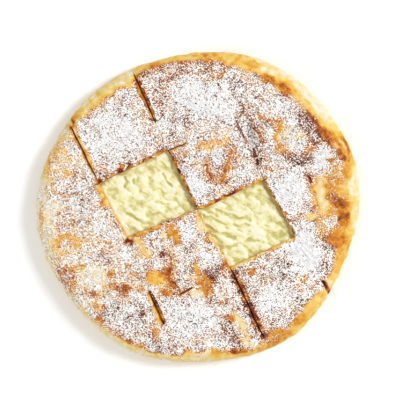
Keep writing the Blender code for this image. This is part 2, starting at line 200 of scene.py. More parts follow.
# Browning runs from 0, pale cream, to 1, nearly burnt; sugar from 0, bare, to 1, a white
# blanket. Patches lie one over another: x, y, half length, half width, turn, browning, sugar.
TOP_BROWNING = 0.64
TOP_SUGAR = 0.68
PATCHES = tuple(map(Patch._make, (
    # paler crust all round the near left
    (-105, -62, 52, 50, 0, 0.42, 0.64),
    # drifts of thick sugar
    (5, 108, 38, 22, -20, 0.7, 0.91),
    (-86, 70, 36, 28, 25, 0.6, 0.87),
    (90, 16, 18, 27, -20, 0.6, 0.99),
    (105, -42, 20, 24, 0, 0.6, 1.05),
    (70, -92, 22, 14, 25, 0.75, 0.86),
    (-8, -112, 27, 18, 0, 0.7, 0.92),
    (-97, -17, 22, 12, -60, 0.5, 0.78),
    (-3, 20, 13, 11, 0, 0.7, 1.0),
    (-10, -24, 8, 15, -20, 0.7, 0.92),
    (71, 68, 12, 6, -70, 0.6, 1.1),
    (78, 102, 15, 9, -30, 0.7, 0.82),
    (-60, -95, 10, 6, 0, 0.9, 0.62),
    # painted shade: these two give greyer sugar over burnt crust where the top lies in shade
    (52, 74, 17, 7, -65, 1.0, 0.87),
    (39, 118, 14, 9, -60, 1.0, 0.55),
    # thin, freckled sugar over well baked crust
    (132, 2, 19, 48, 0, 0.44, 0.08),
    (122, 48, 10, 13, -20, 0.6, 1.08),
    (-8, 139, 36, 8, 4, 0.74, 0.33),
    (-30, 128, 12, 9, 20, 0.72, 0.57),
    (12, 131, 17, 8, 10, 0.62, 0.54),
    (-43, 108, 22, 8, -62, 0.74, 0.62),
    (-22, 85, 12, 9, 0, 0.95, 0.62),
    (-18, 62, 12, 6, 15, 0.5, 0.5),
    (108, 82, 26, 13, -50, 0.88, 0.56),
    (102, 48, 17, 7, -5, 0.95, 0.28),
    (141, 61, 11, 7, -60, 0.18, 0.48),
    (14, -67, 12, 9, -60, 0.9, 0.3),
    (8, -78, 8, 7, 0, 0.66, 0.15),
    (82, -62, 14, 12, 30, 1.0, 0.58),
    (-74, -108, 26, 13, -25, 0.95, 0.66),
    (-130, -70, 16, 10, -60, 0.68, 0.35),
    (33, -126, 18, 9, -50, 0.85, 0.42),
    (128, -38, 8, 12, 0, 0.92, 0.7),
    (124, -60, 8, 9, 60, 0.85, 0.6),
    (-136, 45, 22, 13, -72, 0.36, 0.5),
    (-20, 50, 11, 6, 25, 0.7, 0.3),
    (114, -2, 6, 4.5, 0, 0.72, 0.2),
    (-105, 5, 12, 8, -60, 0.7, 0.5),
    (-110, -85, 10, 6, -10, 0.74, 0.26),
    (-95, -50, 12, 8, 0, 0.8, 0.55),
    (-60, -62, 16, 8, -10, 0.65, 0.6),
    (70, 38, 9, 6, 10, 0.65, 0.55),
    (-52, 132, 9, 6, 20, 0.72, 0.5),
    (-34, -141, 18, 5, -13, 0.78, 0.72),
    (-117, 83, 5, 3.5, 50, 0.4, 0.9),
    # bare or nearly bare dough
    (12, 62, 21, 5, 12, 0.45, 0.3),
    (93, 70, 13, 12, -10, 0.05, 0.64),
    (121, 12, 19, 8, -78, 0.03, 0.06),
    (134, 24, 9, 7, 0, 0.56, 0.1),
    (135, 8, 14, 6, -38, 0.7, 0.1),
    (142, 4, 7, 7, 0, 0.76, 0.05),
    (145, -10, 9, 8, -80, 0.72, 0.0),
    (132, -34, 8, 6, -60, 0.84, 0.0),
    (138, -31, 13, 9, -20, 0.6, 0.0),
    (143, -48, 8, 10, -70, 0.44, 0.05),
    (111, -9, 6, 4.5, 0, 0.18, 0.1),
    (147, 35, 10, 5, -75, 0.5, 0.03),
    (141, 53, 7, 4, -60, 0.84, 0.0),
    (131, 65, 8, 5, -55, 0.7, 0.05),
    (121, 75, 9, 4, -45, 0.82, 0.05),
    (111, 88, 8, 6, -50, 0.9, 0.35),
    (104, 100, 5, 3.2, -50, 0.62, 0.3),
    (88, 117, 10, 6, -30, 0.62, 0.06),
    (68, 128, 8, 5, -20, 0.62, 0.02),
    (53, 143, 12, 6, -12, 0.42, 0.05),
    (130, 47, 5, 3, 10, 0.58, 0.0),
    (-25, -26, 14, 6.5, -65, 0.54, 0.0),
    (-21, -35, 5, 4, 0, 0.62, 0.02),
    (-34, -28, 6, 3, -75, 0.0, 0.3),
    (-35, -47, 6, 5, -50, 0.86, 0.12),
    (-43, -69, 9, 9, -40, 0.42, 0.0),
    (-33, -68, 6, 8, 0, 0.58, 0.0),
    (-33, -85, 9, 5, -10, 0.58, 0.0),
    (-1, -86, 9, 5.5, -40, -0.1, 0.6),
    (-105, -68, 13, 14, -30, -0.05, 0.55),
    (-87, -67, 5, 6, -80, 0.64, 0.1),
    (-85, -78, 5, 5, 0, 0.62, 0.22),
    (-75, -82, 9, 8, -30, 0.74, 0.18),
    (-70, -58, 5, 4, 0, 0.62, 0.2),
    (-66, -66, 5, 4, -60, 0.58, 0.22),
    (-57, -81, 6, 4, -65, 0.52, 0.2),
    (-57, -105, 5, 5, 0, 0.9, 0.3),
    (-98, -112, 5, 4, -45, 0.64, 0.0),
    (-100, -100, 6, 5, 0, 0.5, 0.3),
    (-69, -133, 3.5, 2.5, 0, 0.6, 0.0),
    (-42, -124, 7, 4.5, 75, 0.6, 0.12),
    (31, -110, 8, 5, 0, 0.66, 0.2),
    (42, -114, 8, 3, -60, 0.08, 0.1),
    (18, -144, 7, 4, 0, 0.48, 0.05),
    (40, -143, 10, 5, 10, 0.74, 0.0),
    (50, -135, 10, 4, -30, 0.05, 0.25),
    (76, -126, 14, 8, 20, 0.56, 0.08),
    (100, -111, 9, 6, 35, 0.5, 0.04),
    (97, -113, 4.5, 3, 0, 0.64, 0.0),
    (112, -98, 9, 5, 45, 0.34, 0.05),
    (51, -63, 6, 5, 0, 0.66, 0.2),
    (29, -57, 6, 4, 0, 0.58, 0.03),
    (23, -59, 4, 3, 0, 0.78, 0.0),
    (8, -30, 5, 4, 0, 0.55, 0.25),
    (4, -14, 7, 12, -20, 0.04, 0.2),
    (-94, 10, 11, 6, -62, 0.45, 0.02),
    (-116, 47, 13, 8, 0, 0.26, 0.6),
    (-130, 72, 10, 7, 50, 0.26, 0.35),
    (86, -7, 4, 4, 0, 0.72, 0.0),
    (-144, -40, 5, 7, 0, 0.22, 0.35),
    (-136, -66, 5, 4, 0, 0.7, 0.15),
    (-124, -76, 6, 4, -60, 0.54, 0.25),
    (-158, -12, 22, 4, 86, 0.5, 0.5),
    (132, -15, 8, 9, 0, 0.6, 0.72),
)))
PATCH_STRAY = Layer(2.6, 6.0, 81)  # how a patch's outline strays
PATCH_COVER = 0.95  # how fully its browning covers what lies under it
# A patch's browning and sugar fade out between these parts of its half sizes.
PATCH_BAKE, PATCH_DUSTING = (0.5, 1.3), (0.45, 1.25)
BROWN_CLOUDS = (Layer(0.3, 17, 83), Layer(0.3, 6, 84))
# Drifts heap sugar up and thin it out, most where it is neither bare nor deep.
DRIFTS = (Layer(0.3, 21, 85), Layer(0.5, 7.5, 86))
DRIFT_START, DRIFT_LEVEL, DRIFT_MOST = 0.3, 1.15, 0.6
# Where sugar strays into a bare patch or fold.
FRAY, FRAY_LEVEL = Layer(0.9, 2.8, 93), 1.08
# How browning and bareness change along the cut edges.
SCORCH = Layer(0.4, 5.5, 91)
BARE_EDGES, BARE_EDGE_LEVEL = Layer(1.5, 4.4, 92), 1.15

# Folds, ridges and cracks: their run, half width, height, browning and sugar.
FOLDS = tuple(map(Fold._make, (
    (((50, 90), (56, 79), (62, 71), (63, 66)), 4.0, 0.9, 0.68, 0.0),
    (((55, 58), (57, 50), (58, 44)), 3.6, -0.9, 1.0, -0.1),
    # a real dip, with burnt crust and thinner sugar as painted shade on its slope
    (((46, 84), (50, 73), (53, 62)), 6.5, -2.4, 1.0, 0.66),
    (((43, 94), (37, 84), (42, 73), (48, 66)), 1.2, -1.0, 0.86, 0.3),
    (((43, 102), (45, 95)), 2.0, -0.8, 0.86, 0.15),
    # the edge of a flat blister
    (((58, 93), (66, 87), (78, 86)), 1.6, 0.5, 0.62, 0.1),
    (((82, 84), (81, 78), (76, 70), (78, 62), (86, 55)), 3.2, 0.7, 0.52, 0.03),
    (((86, 55), (90, 51)), 2.2, 0.4, 0.75, 0.1),
    (((100, 82), (111, 72), (118, 60)), 1.8, 0.4, 0.8, 0.2),
    (((107, 52), (113, 59)), 2.8, -0.4, 0.72, 0.05),
    # a fold like a V
    (((7, 42), (10, 34), (16, 28)), 3.6, -0.9, 0.72, 0.0),
    (((33, 56), (29, 43), (24, 26)), 3.6, -0.8, 0.64, 0.02),
    (((16, 28), (24, 26)), 1.8, -0.6, 0.6, 0.25),
    (((3, 115), (9, 107)), 0.9, -0.9, 0.9, 0.6),
    (((16, 92), (26, 83)), 0.9, -0.9, 0.9, 0.5),
    (((19, 122), (22, 118)), 0.8, -0.6, 0.9, 0.5),
    (((16, 111), (18, 109)), 1.3, -0.8, 0.9, 0.3),
    (((109, 31), (112, 25)), 3.2, -0.6, 0.9, 0.0),
    (((113, 21), (118, 5), (120, 0)), 2.0, -0.4, 0.52, 0.1),
    (((-128, -60.5), (-119, -58), (-113, -57.5)), 1.3, -0.9, 0.5, 0.0),
    (((-127, -63), (-121, -62.5), (-114, -60)), 1.4, -0.8, 0.5, 0.05),
    (((-147, 28), (-146, 17), (-134, 11), (-120, 14)), 1.4, -0.4, 0.5, 0.2),
    (((-28, -48), (-27, -58), (-29, -66)), 3.2, -0.6, 0.66, 0.14),
    (((-30, -62), (-29, -70), (-24, -79)), 4.4, -0.9, 0.76, 0.0),
    # a raised fold, painted pale along it as a highlight
    (((-40, -71), (-36, -74), (-33, -76)), 2.4, 1.0, 0.3, 0.0),
    (((-19, -86), (-9, -81)), 2.6, -0.9, 0.7, 0.03),
    (((-3, -58), (1, -70), (4, -78)), 4.0, -0.3, 0.46, 0.04),
    (((3, -76), (8, -86)), 3.2, -0.3, 0.6, 0.05),
    (((5, -68), (11, -84)), 3.0, 0.3, 0.62, 0.08),
    (((-61, -32), (-56, -41), (-51, -47)), 3.2, -0.3, 0.26, 0.04),
    (((-57, -27), (-48, -23), (-38, -20)), 1.3, -0.5, 0.54, 0.03),
    (((36, -105), (42, -117), (50, -128)), 1.8, 0.6, 0.1, 0.1),
    (((27, -53), (29, -58)), 3.4, -0.3, 0.66, 0.0),
    # a blistered ring
    (((-121, -38), (-123, -31), (-129, -27), (-137, -29), (-142, -37)), 3.6, 1.0, 0.46, 0.1),
    (((-140, -44), (-133, -46), (-126, -44)), 2.6, 0.8, 0.36, 0.3),
    # the hollow inside the pale roll of the rim
    (((84, 125), (95, 114), (106, 104), (114, 95), (121, 85), (128, 76)), 3.8, -1.4, 0.24, 0.0),
    (((128, 76), (137, 68), (144, 58), (149, 47)), 3.6, -1.4, 0.52, 0.0),
    (((109, 93), (117, 84), (125, 75)), 2.4, -0.5, 0.78, 0.04),
    (((123, 75), (129, 69)), 3.0, 0.0, 0.74, 0.05),
    (((82, 122), (86, 120), (90, 117)), 4.2, -0.4, 0.74, 0.0),
)))
HALO = (0.5, 2.7)  # a fold's surroundings fade out between these, in its half widths
FOLD_WANDER = Layer(0.5, 4.5, 71)  # how its width changes
FOLD_STRAY = 0.3  # of a patch's straying, in its bake
FOLD_CORE = 1.4  # widens the middle, where a fold's own bake holds
HALO_BROWNING, HALO_SUGAR = 0.45, 0.4  # shares of its bake in its surroundings
PIT = Puff(-69.5, -33.5, 6.0, 4.0, -4.4, -15)  # the torn corner of the first window
PIT_STRAY = Layer(2.4, 3.6, 74)
PIT_EDGE = (0.3, 1.3)  # its wall climbs between these parts of its half sizes
PIT_BROWNING = 0.76

# The bare dough of the rim, all the way round: direction, width, browning at its outer and
# at its inner edge, and sugar.
RIM_BAND = (
    (2, 17, 0.2, 0.36, 0.0),
    (8, 17, -0.02, 0.18, 0.0),
    (13, 14, 0.16, 0.23, 0.0),
    (17, 12, 0.42, 0.46, 0.0),
    (20, 15, 0.7, 0.95, 0.0),
    (25, 13, 0.7, 1.0, 0.0),
    (29, 14, 0.26, 0.78, 0.0),
    (34, 15, 0.12, 0.84, 0.0),
    (40, 15, -0.12, 0.62, 0.0),
    (47, 13, -0.02, 0.04, 0.0),
    (52, 15, 0.08, 0.5, 0.0),
    (56, 14, 0.0, 0.56, 0.0),
    (62, 17, 0.1, 0.56, 0.0),
    (68, 17, 0.08, 0.4, 0.0),
    (74, 15, 0.32, 0.46, 0.0),
    (80, 12, 0.32, 0.48, 0.0),
    (86, 10, 0.58, 0.5, 0.0),
    (93, 11, 0.3, 0.56, 0.0),
    (100, 6, 0.34, 0.46, 0.05),
    (108, 8, 0.5, 0.58, 0.0),
    (113, 11, 0.34, 0.68, 0.0),
    (117, 10, 0.04, 0.4, 0.0),
    (119, 14, 0.14, 0.4, 0.0),
    (125, 14, 0.14, 0.36, 0.0),
    (132, 13, 0.26, 0.44, 0.0),
    (138, 12, 0.16, 0.34, 0.0),
    (144, 8, 0.54, 0.06, 0.0),
    (147, 8, 1.0, 0.3, 0.0),
    (150, 6, 0.04, 0.26, 0.25),
    (163, 7, 0.56, 0.4, 0.05),
    (172, 8, -0.08, 0.2, 0.4),
    (180, 22, -0.05, -0.05, 0.5),
    (190, 16, -0.05, -0.05, 0.45),
    (200, 8, -0.05, 0.1, 0.4),
    (215, 6, -0.05, 0.08, 0.5),
    (228, 6, 0.14, 0.36, 0.15),
    (240, 8, 0.1, 0.72, 0.12),
    (252, 7, 0.14, 0.76, 0.15),
    (262, 9, 0.18, 0.7, 0.1),
    (272, 12, 0.14, -0.1, 0.2),
    (277, 13, 0.3, 0.44, 0.0),
    (282, 9, 0.3, 0.5, 0.05),
    (290, 7, 0.42, 0.45, 0.05),
    (300, 8, 0.46, 0.5, 0.0),
    (304, 9, 0.6, 0.6, 0.0),
    (308, 9, 0.34, 0.4, 0.0),
    (313, 12, 0.46, 0.54, 0.0),
    (320, 13, 0.34, 0.36, 0.0),
    (327, 10, 0.22, 0.3, 0.05),
    (335, 9, 0.38, 0.42, 0.0),
    (342, 10, 0.4, 0.48, 0.0),
    (346, 20, 0.42, 0.58, 0.0),
    (350, 14, 0.3, 0.54, 0.0),
    (355, 16, 0.12, 0.56, 0.0),
)
RIM_BLEND = 8.0  # over which the bare band turns into the top
BAND_WANDER = RimLayer(0.35, 14, 30, 87)  # how the band's width changes
BAND_INNER = 0.48  # of its width, over which the inner browning turns into the outer one
RIM_STREAKS, RIM_CLOUDS = RimLayer(0.13, 5, 9, 88), Layer(0.12, 9, 89)
SIDE_BROWNING = 0.12
SIDE_BLEND = 12.0  # over which the shoulder's bake turns into the side's
SIDE_STREAKS = 1.6  # times the band's
BASE_BROWNING = 0.42
BASE_EDGE = 4.0  # height over which the side turns into the base
BARE = 0.15  # sugar below this thins out to nothing
BARE_GAP = 0.6  # keeps stray grains off bare crust
THICKEST = 1.2

# The rim's skin is a band that goes over the shoulder, with this share of it, and then under.
SHOULDER_SHARE = 0.68
LAMINATION = RimLayer(0.28, 26.0, 1.7, 16)  # the dough's layers, which show on the side
LAMINATED = 1 / 3  # of the band, from its upper end, over which they come in
SKIN_ENDS = 1 / 6  # of the band, at its lower end, over which its relief runs out
SIDEWAYS = 0.8  # of the relief, on the side
SEAM = 1e-6  # the band closes on itself this near its far end
MERGE_DISTANCE = 1e-6  # in metres
BLADE_MIDDLE, BLADE_REACH = 15.0, 19.0  # its middle height, and how far up and down it goes
BLADE_CELLS, QUICK_BLADE_CELLS = (320, 26), (80, 8)  # along and up a blade
HOLLOW_SIDES = 256
CRUMB_CORNERS = 200  # a loose bit with fewer corners is swept away
SHARP_CRUST, SHARP_CUSTARD = math.radians(50), math.radians(60)

# Custard in the windows: its level, then its curds, which melt into each other.
CUSTARD_LEVEL = {"b2": 21.2, "c3": 20.6}
CURDS = {
    "b2": (Curds(30, 9.0, 6.0, 1.2, -55, 21), Curds(60, 4.4, 3.0, 0.8, -45, 22)),
    "c3": (Curds(24, 14.0, 5.5, 1.3, -30, 31), Curds(50, 7.0, 3.2, 0.8, -32, 32)),
}
CURD_SIZES = (0.6, 1.3)  # from the smallest to the largest
CURD_TURNS = 35  # either way
CURD_RISE, CURD_FALL = 1.3, 1.4  # of the dome, at its middle and outwards
CURD_SOFTNESS = 0.8
CURD_STRAY = Layer(1.6, 6.0, 34)
CUSTARD_WAVES = (Layer(1.0, 13.0, 41), Layer(0.9, 6.5, 42), Layer(0.42, 3.4, 43), Layer(0.16, 1.8, 44))
CUSTARD_STRETCH = 1.7  # of the waves, the way that the spoon was drawn
SPOON_MARKS = tuple(map(SpoonMark._make, (
    ("b2", ((-35, 33), (-31, 26), (-27, 21)), 2.4, -1.5),
    ("b2", ((-50, 8), (-40, 5), (-30, 3)), 2.4, -0.7),
    ("b2", ((-74, 30), (-71, 26), (-73, 22)), 2.6, -1.5),
    ("b2", ((-65, 28), (-64, 24)), 2.0, -1.3),
    ("b2", ((-70, -6), (-58, -14), (-46, -16)), 3.0, -0.8),
    ("c3", ((6, -8), (22, -14), (38, -18), (50, -17)), 3.2, -1.2),
    ("c3", ((18, -3), (34, -8), (50, -12)), 3.0, -1.0),
    ("c3", ((8, -18), (22, -26), (36, -30)), 3.2, -1.0),
    ("c3", ((30, -40), (50, -32), (64, -34)), 3.0, -0.8),
)))
SPOON_TURN = math.radians(-32)  # the way that the spoon was drawn through the custard
SETTLE_STEPS = 8  # in which a place between crossing walls is found
WINDOW_CELLS, QUICK_WINDOW_CELLS = 150, 40
CUSTARD_LIFT = 0.3  # off the base crust
WALL_DIP = 1.0
# How much the custard sinks at its left, right, near and far wall, and how much shade is painted there.
SUNK_AND_SHADED_WALLS = {"b2": (0.0, 0.8, 0.4, 0.5), "c3": (0.1, 1.0, 0.3, 0.5)}
SUNK_AND_SHADED_EDGE, WALL_SHADE_TONE = 0.07, 0.5  # its width, in windows, and how dark its painted shade is
# How much yellower and darker it is in a wider strip along those walls: painted shade along the right
# walls, which lie away from the light, and a tint along the others.
TINTED_AND_SHADED_WALLS = {"b2": (0.0, 0.12, 0.15, 0.05), "c3": (0.28, 0.32, 0.0, 0.25)}
TINTED_AND_SHADED_EDGE = 0.26
# The tone of level custard, then how much darker a hollow is painted as shade, and a crest lighter
# as a highlight, read at two distances: the window's width has that many of them.
LEVEL_TONE = 0.36
HOLLOW_SHADING = ((30, 0.55), (75, 0.5))

SUGAR_SEED = 51
SUGAR_THROWS = 4  # of a clump, for each one that is to lie
SUGAR_CLEARANCE = 0.6  # between a clump's middle and a cut
SUGAR_HOLDS = (0.3, 0.9)  # the chance that a clump lies grows from 0 to 1 between these
CLUMP_SIZES = (0.45, 1.0)  # of a large clump
CLUMP_LIFT = 0.2  # of its radius

# The finishes' patterns: strength, spacing in metres, detail and roughness, then for some how
# they are stretched and turned.
SCRATCH_TURN = math.radians(-48)  # the way that fine marks run in the sugar
CRUST_MOTTLE = Pattern(0.7, 0.0055, 4.0, 0.62)
CRUST_FRECKLES = Pattern(0.7, 0.0016, 3.0, 0.6)
# Painted shade of the sugar's grains, as dark specks in the crust.
GRAIN_SHADE_SPECKS = Pattern(0.4, 0.0012, 1.0, 0.5)
CRUST_FLAKES = Pattern(0.5, 0.0023, 3.0, 0.7)
SUGAR_LUMPS = Pattern(1.0, 0.0034, 2.0, 0.6)
SUGAR_MARKS = Pattern(0.85, 0.0013, 3.0, 0.7, (3, 1, 1), SCRATCH_TURN)
CRUMB_LAYERS = Pattern(0.5, 0.0011, 3.0, 0.6, (12, 12, 1))
CRUMB_PORES = Pattern(0.3, 0.0021, 3.0, 0.6)
CRUMB_BROWNING, CRUMB_TONE = 0.95, 0.02
CUSTARD_CLOUDS = Pattern(1.5, 0.011, 4.0, 0.6)
CUSTARD_STREAKS = Pattern(1.0, 0.0026, 2.0, 0.55, (2.4, 1, 1), SPOON_TURN)
CUSTARD_GRAIN = Pattern(0.7, 0.0016, 3.0, 0.6)
CUSTARD_DIMPLES = Pattern(1.0, 0.0024, 3.0, 0.5)
CLUMP_SHADE = Pattern(1.0, 0.0009, 2.0, 0.5)
# Patterns of the sugar's cover, with their spacing in grains.
SUGAR_GRAIN = Pattern(1.0, 1.0, 1.0, 0.5)
SUGAR_COVER = (
    Pattern(3.5, 2.6, 1.0, 0.5),
    Pattern(2.4, 7.0, 2.0, 0.6),
    Pattern(4.5, 1.0, 1.0, 0.5, (4, 1, 1), SCRATCH_TURN),
)
GRAIN_CONTRAST, DEEP_CONTRAST = 18.0, 11.0  # of the grains, and of those in deep drifts
HALF_COVERED, COVER_CONTRAST, COVER_LIFT = 0.5, 4.8, 0.3
THIN_COVER = 0.88  # the most that thin sugar covers

# Values of noise or of sugar between which something goes from none to full.
GRAIN_SHADE_OF_NOISE = (0.56, 0.671)
LUMPS_OF_NOISE = (0.28125, 0.59375)
MARKS_OF_NOISE = (0.4, 0.6)
GRAIN_SHADE_COMES = (0.0, 0.333)  # painted shade of the sugar's grains: dark specks in the crust
COVER_THICKENS = (0.0, 0.8333)
CRUST_SHADED = (0.3958, 0.8125)  # crust between grains lies in their shade
WHITE_COMES = (0.4583, 0.875)  # sugar turns from warm to white
PORE_SHADOW_COMES = (0.6875, 1.0)  # painted shade: the gaps between grains turn grey
DRIFT_DEEP = (0.8, 1.05)  # a drift counts as deep
CRUST_SHADE, PORE_SHADE = 0.65, 0.85  # how dark those become

FLOOR_SIZE = 8.0  # in metres, as are the lights' places and sizes
KEY_PLACE, KEY_SIZE = (2.9, 1.1, 3.1), 1.4
FILL_PLACE, FILL_SIZE = (-2.6, -1.4, 2.4), 2.2
CAMERA_HEIGHT = 2.5
PICTURE_PIXELS = 400
PIXEL = 0.001  # of the picture, at the height of the pie's outline
PICTURE_CENTRE = (200.0, 200.0)
PIE_CENTRE = (198.5, 207.5)  # in the picture, from its top left corner


# Fields over the pie, in millimetres ------------------------------------------------


def smooth(t):
    """A blend from 0 to 1 with level ends."""
    t = np.clip(t, 0.0, 1.0)
    return t * t * (3 - 2 * t)


def rise(value, start, end):
    """A smooth climb from 0 at the start to 1 at the end."""
    return smooth((value - start) / (end - start))


def uneven(x, y, spacing, seed, wrap=NOISE_PERIOD):
    """Smooth random values between about -1 and 1, with bumps about spacing apart."""
    angles = np.random.default_rng(seed).uniform(0, 2 * math.pi, (NOISE_PERIOD, NOISE_PERIOD))
    u, v = np.broadcast_arrays(np.asarray(x) / spacing, np.asarray(y) / spacing)
    i, j = np.floor(u).astype(int), np.floor(v).astype(int)
    total = 0.0
    for di in (0, 1):
        for dj in (0, 1):
            angle = angles[(i + di) % wrap, (j + dj) % NOISE_PERIOD]
            du, dv = u - i - di, v - j - dj
            weight = (1 - smooth(abs(du))) * (1 - smooth(abs(dv)))
            total = total + weight * (np.cos(angle) * du + np.sin(angle) * dv)
    return 1.5 * total


def uneven_rim(angle, outward, along, across, seed):
    """The same round the rim, with bumps along by across millimetres, closed on itself."""
    cells = round(2 * math.pi * MEAN_RADIUS / along)
    return uneven(angle / (2 * math.pi) * cells, outward / across, 1.0, seed, cells)


def layered(x, y, *layers):
    """The sum of some layers of unevenness."""
    return sum(layer.height * uneven(x, y, layer.spacing, layer.seed) for layer in layers)


def layered_rim(angle, outward, *layers):
    """The sum of some layers of unevenness round the rim."""
    bumps = [uneven_rim(angle, outward, layer.along, layer.across, layer.seed) for layer in layers]
    return sum(layer.height * bump for layer, bump in zip(layers, bumps))


def strayed(x, y, layer):
    """Places that stray both ways, with one seed for each way."""
    return x + layered(x, y, layer), y + layered(x, y, layer._replace(seed=layer.seed + 1))


def turned(x, y, angle):
    """A place seen along axes that are turned by an angle."""
    c, s = np.cos(angle), np.sin(angle)
    return c * x + s * y, c * y - s * x


def ellipse(x, y, shape):
    """How far out a place lies in a turned ellipse, with 1 on its outline."""
    along, across = turned(x - shape.x, y - shape.y, math.radians(shape.turn))
    return np.hypot(along / shape.half_length, across / shape.half_width)


def line_distance(x, y, points):
    """The distance from a line that runs through the points."""
    nearest = np.full(np.shape(x), np.inf)
    for (ax, ay), (bx, by) in zip(points, points[1:]):
        dx, dy = bx - ax, by - ay
        t = np.clip(((x - ax) * dx + (y - ay) * dy) / (dx * dx + dy * dy), 0, 1)
        nearest = np.minimum(nearest, np.hypot(x - ax - t * dx, y - ay - t * dy))
    return nearest


def outline_radius(angle):
    """The pie's radius in a direction."""
    radius = MEAN_RADIUS
    for lobes, swell, crest in OUTLINE_SWELLS:
        radius = radius + swell * np.cos(lobes * (angle - math.radians(crest)))
    return radius


def outline_middle():
    """The middle of the outline's box."""
    angle = np.linspace(0, 2 * math.pi, 3600)
    x, y = outline_radius(angle) * np.cos(angle), outline_radius(angle) * np.sin(angle)
    return np.array([(x.min() + x.max()) / 2, (y.min() + y.max()) / 2, 0.0])


ORIGIN = outline_middle()  # the frame's origin, among the places that this script uses


def cut_at(name, place):
    """Where a cut's middle lies and how wide it is, at a place along it."""
    starts, sides, widths = np.array(CUTS[name], float).T
    held = np.clip(place, starts[0], starts[-1])
    k = np.clip(np.searchsorted(starts, held, side="right") - 1, 0, len(starts) - 2)
    t = smooth((held - starts[k]) / (starts[k + 1] - starts[k]))
    spacing, height = WANDER
    side = sides[k] + t * (sides[k + 1] - sides[k])
    side = side + height * uneven(place, 0.5 * spacing, spacing, ord(name))
    return side, widths[k] + t * (widths[k + 1] - widths[k])


def fades(place, start, end):
    """1 along a stretch, and 0 a little way past its ends."""
    return smooth((place - start) / EDGE_FADE + 0.5) * smooth((end - place) / EDGE_FADE + 0.5)


def wall_at(name, side, place, height=WALL_TOP):
    """Where a cut's wall on one side lies, with its ragged bites. It leans out at the top."""
    middle, width = cut_at(name, place)
    letter = ord(name)
    bites = layered(place, height, FINE_BITES._replace(seed=letter + FINE_BITES.seed + side))
    for edge in EDGES:
        if edge.cut == name and edge.side == side:
            spacing = RAGGED_SPACING * (1 + edge.ragged)
            rough = 0.5 + 0.5 * uneven(place, side * SIDE_APART, spacing, letter + RAGGED_SEED)
            bites = bites + edge.ragged * fades(place, edge.start, edge.end) * rough
    gap = np.maximum(HIDDEN, width + 2 * bites) - HIDDEN
    return middle + side / 2 * (HIDDEN + rise(height, WALL_FOOT, WALL_TOP) * gap)


def blend(value, aim, share):
    """Moves a value towards an aim."""
    return value + share * (aim - value)


def edge_shares(x, y):
    """Each edge beside a cut, with its share in the height and in the bake of each place."""
    p, q = turned(x, y, GRID_TURN)
    for edge in EDGES:
        name, side = edge.cut, edge.side
        along, across = (q, p) if name in ACROSS else (p, q)
        wander = EDGE_WANDER._replace(seed=ord(name) + EDGE_WANDER.seed + side)
        reach = edge.reach * (1 + layered(along, across, wander))
        distance = side * (across - wall_at(name, side, along))
        own_side = side * (across - cut_at(name, along)[0]) > -EDGE_SLACK
        beside = own_side & (distance < EDGE_REACHES * reach)
        near = np.where(beside, fades(along, edge.start, edge.end), 0.0)
        yield edge, near * (1 - smooth(distance / reach)), near * (1 - rise(distance / reach, *EDGE_BAKE))


def fold_shares(x, y):
    """Each fold, ridge or crack, with its share at each place and the share of its surroundings."""
    wander = 1 + layered(x, y, FOLD_WANDER)
    for fold in FOLDS:
        distance = line_distance(x, y, fold.run) / (fold.half_width * wander)
        yield fold, 1 - smooth(distance), 1 - rise(distance, *HALO)


def pit_share(x, y):
    """1 in the torn corner of the first window, 0 outside it."""
    return 1 - rise(ellipse(*strayed(x, y, PIT_STRAY), PIT), *PIT_EDGE)


def broad_relief(x, y):
    """The forms that the solids have too: unevenness and puffs."""
    shape = np.shape(x)
    height = np.zeros(shape)
    for spacing, swell, slice_height in UNEVENNESS:
        flat = zip(np.ravel(x) / spacing, np.ravel(y) / spacing)
        bumps = [noise.noise(Vector((u, v, slice_height))) for u, v in flat]
        height += swell * np.array(bumps).reshape(shape)
    for puff in PUFFS:
        height += puff.height * (1 - smooth(ellipse(x, y, puff)))
    return height


def skin_relief(x, y):
    """The fine relief of the baked and sugared skin."""
    bumps = uneven(x, y, BLISTERS.spacing, BLISTERS.seed)
    return layered(x, y, *SKIN_RELIEF) + BLISTERS.height * np.maximum(bumps - BLISTER_START, 0)


def rim_relief(angle, outward):
    """Folds and creases that run along the rim, and pleats across it."""
    depth, *crease = RIM_CREASES
    line = np.abs(uneven_rim(angle, outward, *crease))
    often = smooth(layered_rim(angle, outward, CREASED_STRETCHES) + CREASED_SHARE)
    relief = layered_rim(angle, outward, *RIM_FOLDS, RIM_PLEATS)
    relief = relief - depth * often * (1 - smooth(line / CREASE_WIDTH))
    return rise(outward, *RIM_SETS_IN) * relief


def top_height(x, y, layers):
    """The height of the top crust's surface."""
    middle = (layers.base_crust + layers.custard + layers.top_crust) / MM
    height = middle + broad_relief(x, y) + skin_relief(x, y)
    for edge, slope, _ in edge_shares(x, y):
        height = height - edge.sink * slope
    for fold, core, _ in fold_shares(x, y):
        height = height + fold.height * core
    outward = np.hypot(x, y) - outline_radius(np.arctan2(y, x)) + SHOULDER
    height = height + rim_relief(np.arctan2(y, x), outward) + PIT.height * pit_share(x, y)
    above = np.maximum(height - SOFT_CEILING, 0)
    return height - above + CEILING_ROOM * above / (above + CEILING_ROOM)


def unrolled(x, y, z):
    """Where a place on the rim's skin would lie if the skin were laid out flat."""
    angle = np.arctan2(y, x)
    outer = outline_radius(angle)
    radius = np.hypot(x, y)
    inner = outer - SHOULDER
    lean = np.arcsin(np.clip((radius - inner) / SHOULDER, 0, 1))
    lean = np.where(z < WIDEST_HEIGHT, math.pi / 2, lean)
    below = np.where(z < WIDEST_HEIGHT, WIDEST_HEIGHT - z, 0.0)
    flat = np.where(radius > inner, inner + SHOULDER * lean + below, radius)
    return flat * np.cos(angle), flat * np.sin(angle), flat - outer + SHOULDER


def rim_band(angle):
    """Width, outer and inner browning, and sugar of the rim's bare dough in a direction."""
    stops = np.array(RIM_BAND, float)
    degrees = np.degrees(angle) % 360
    return [np.interp(degrees, stops[:, 0], stops[:, k], period=360) for k in (1, 2, 3, 4)]


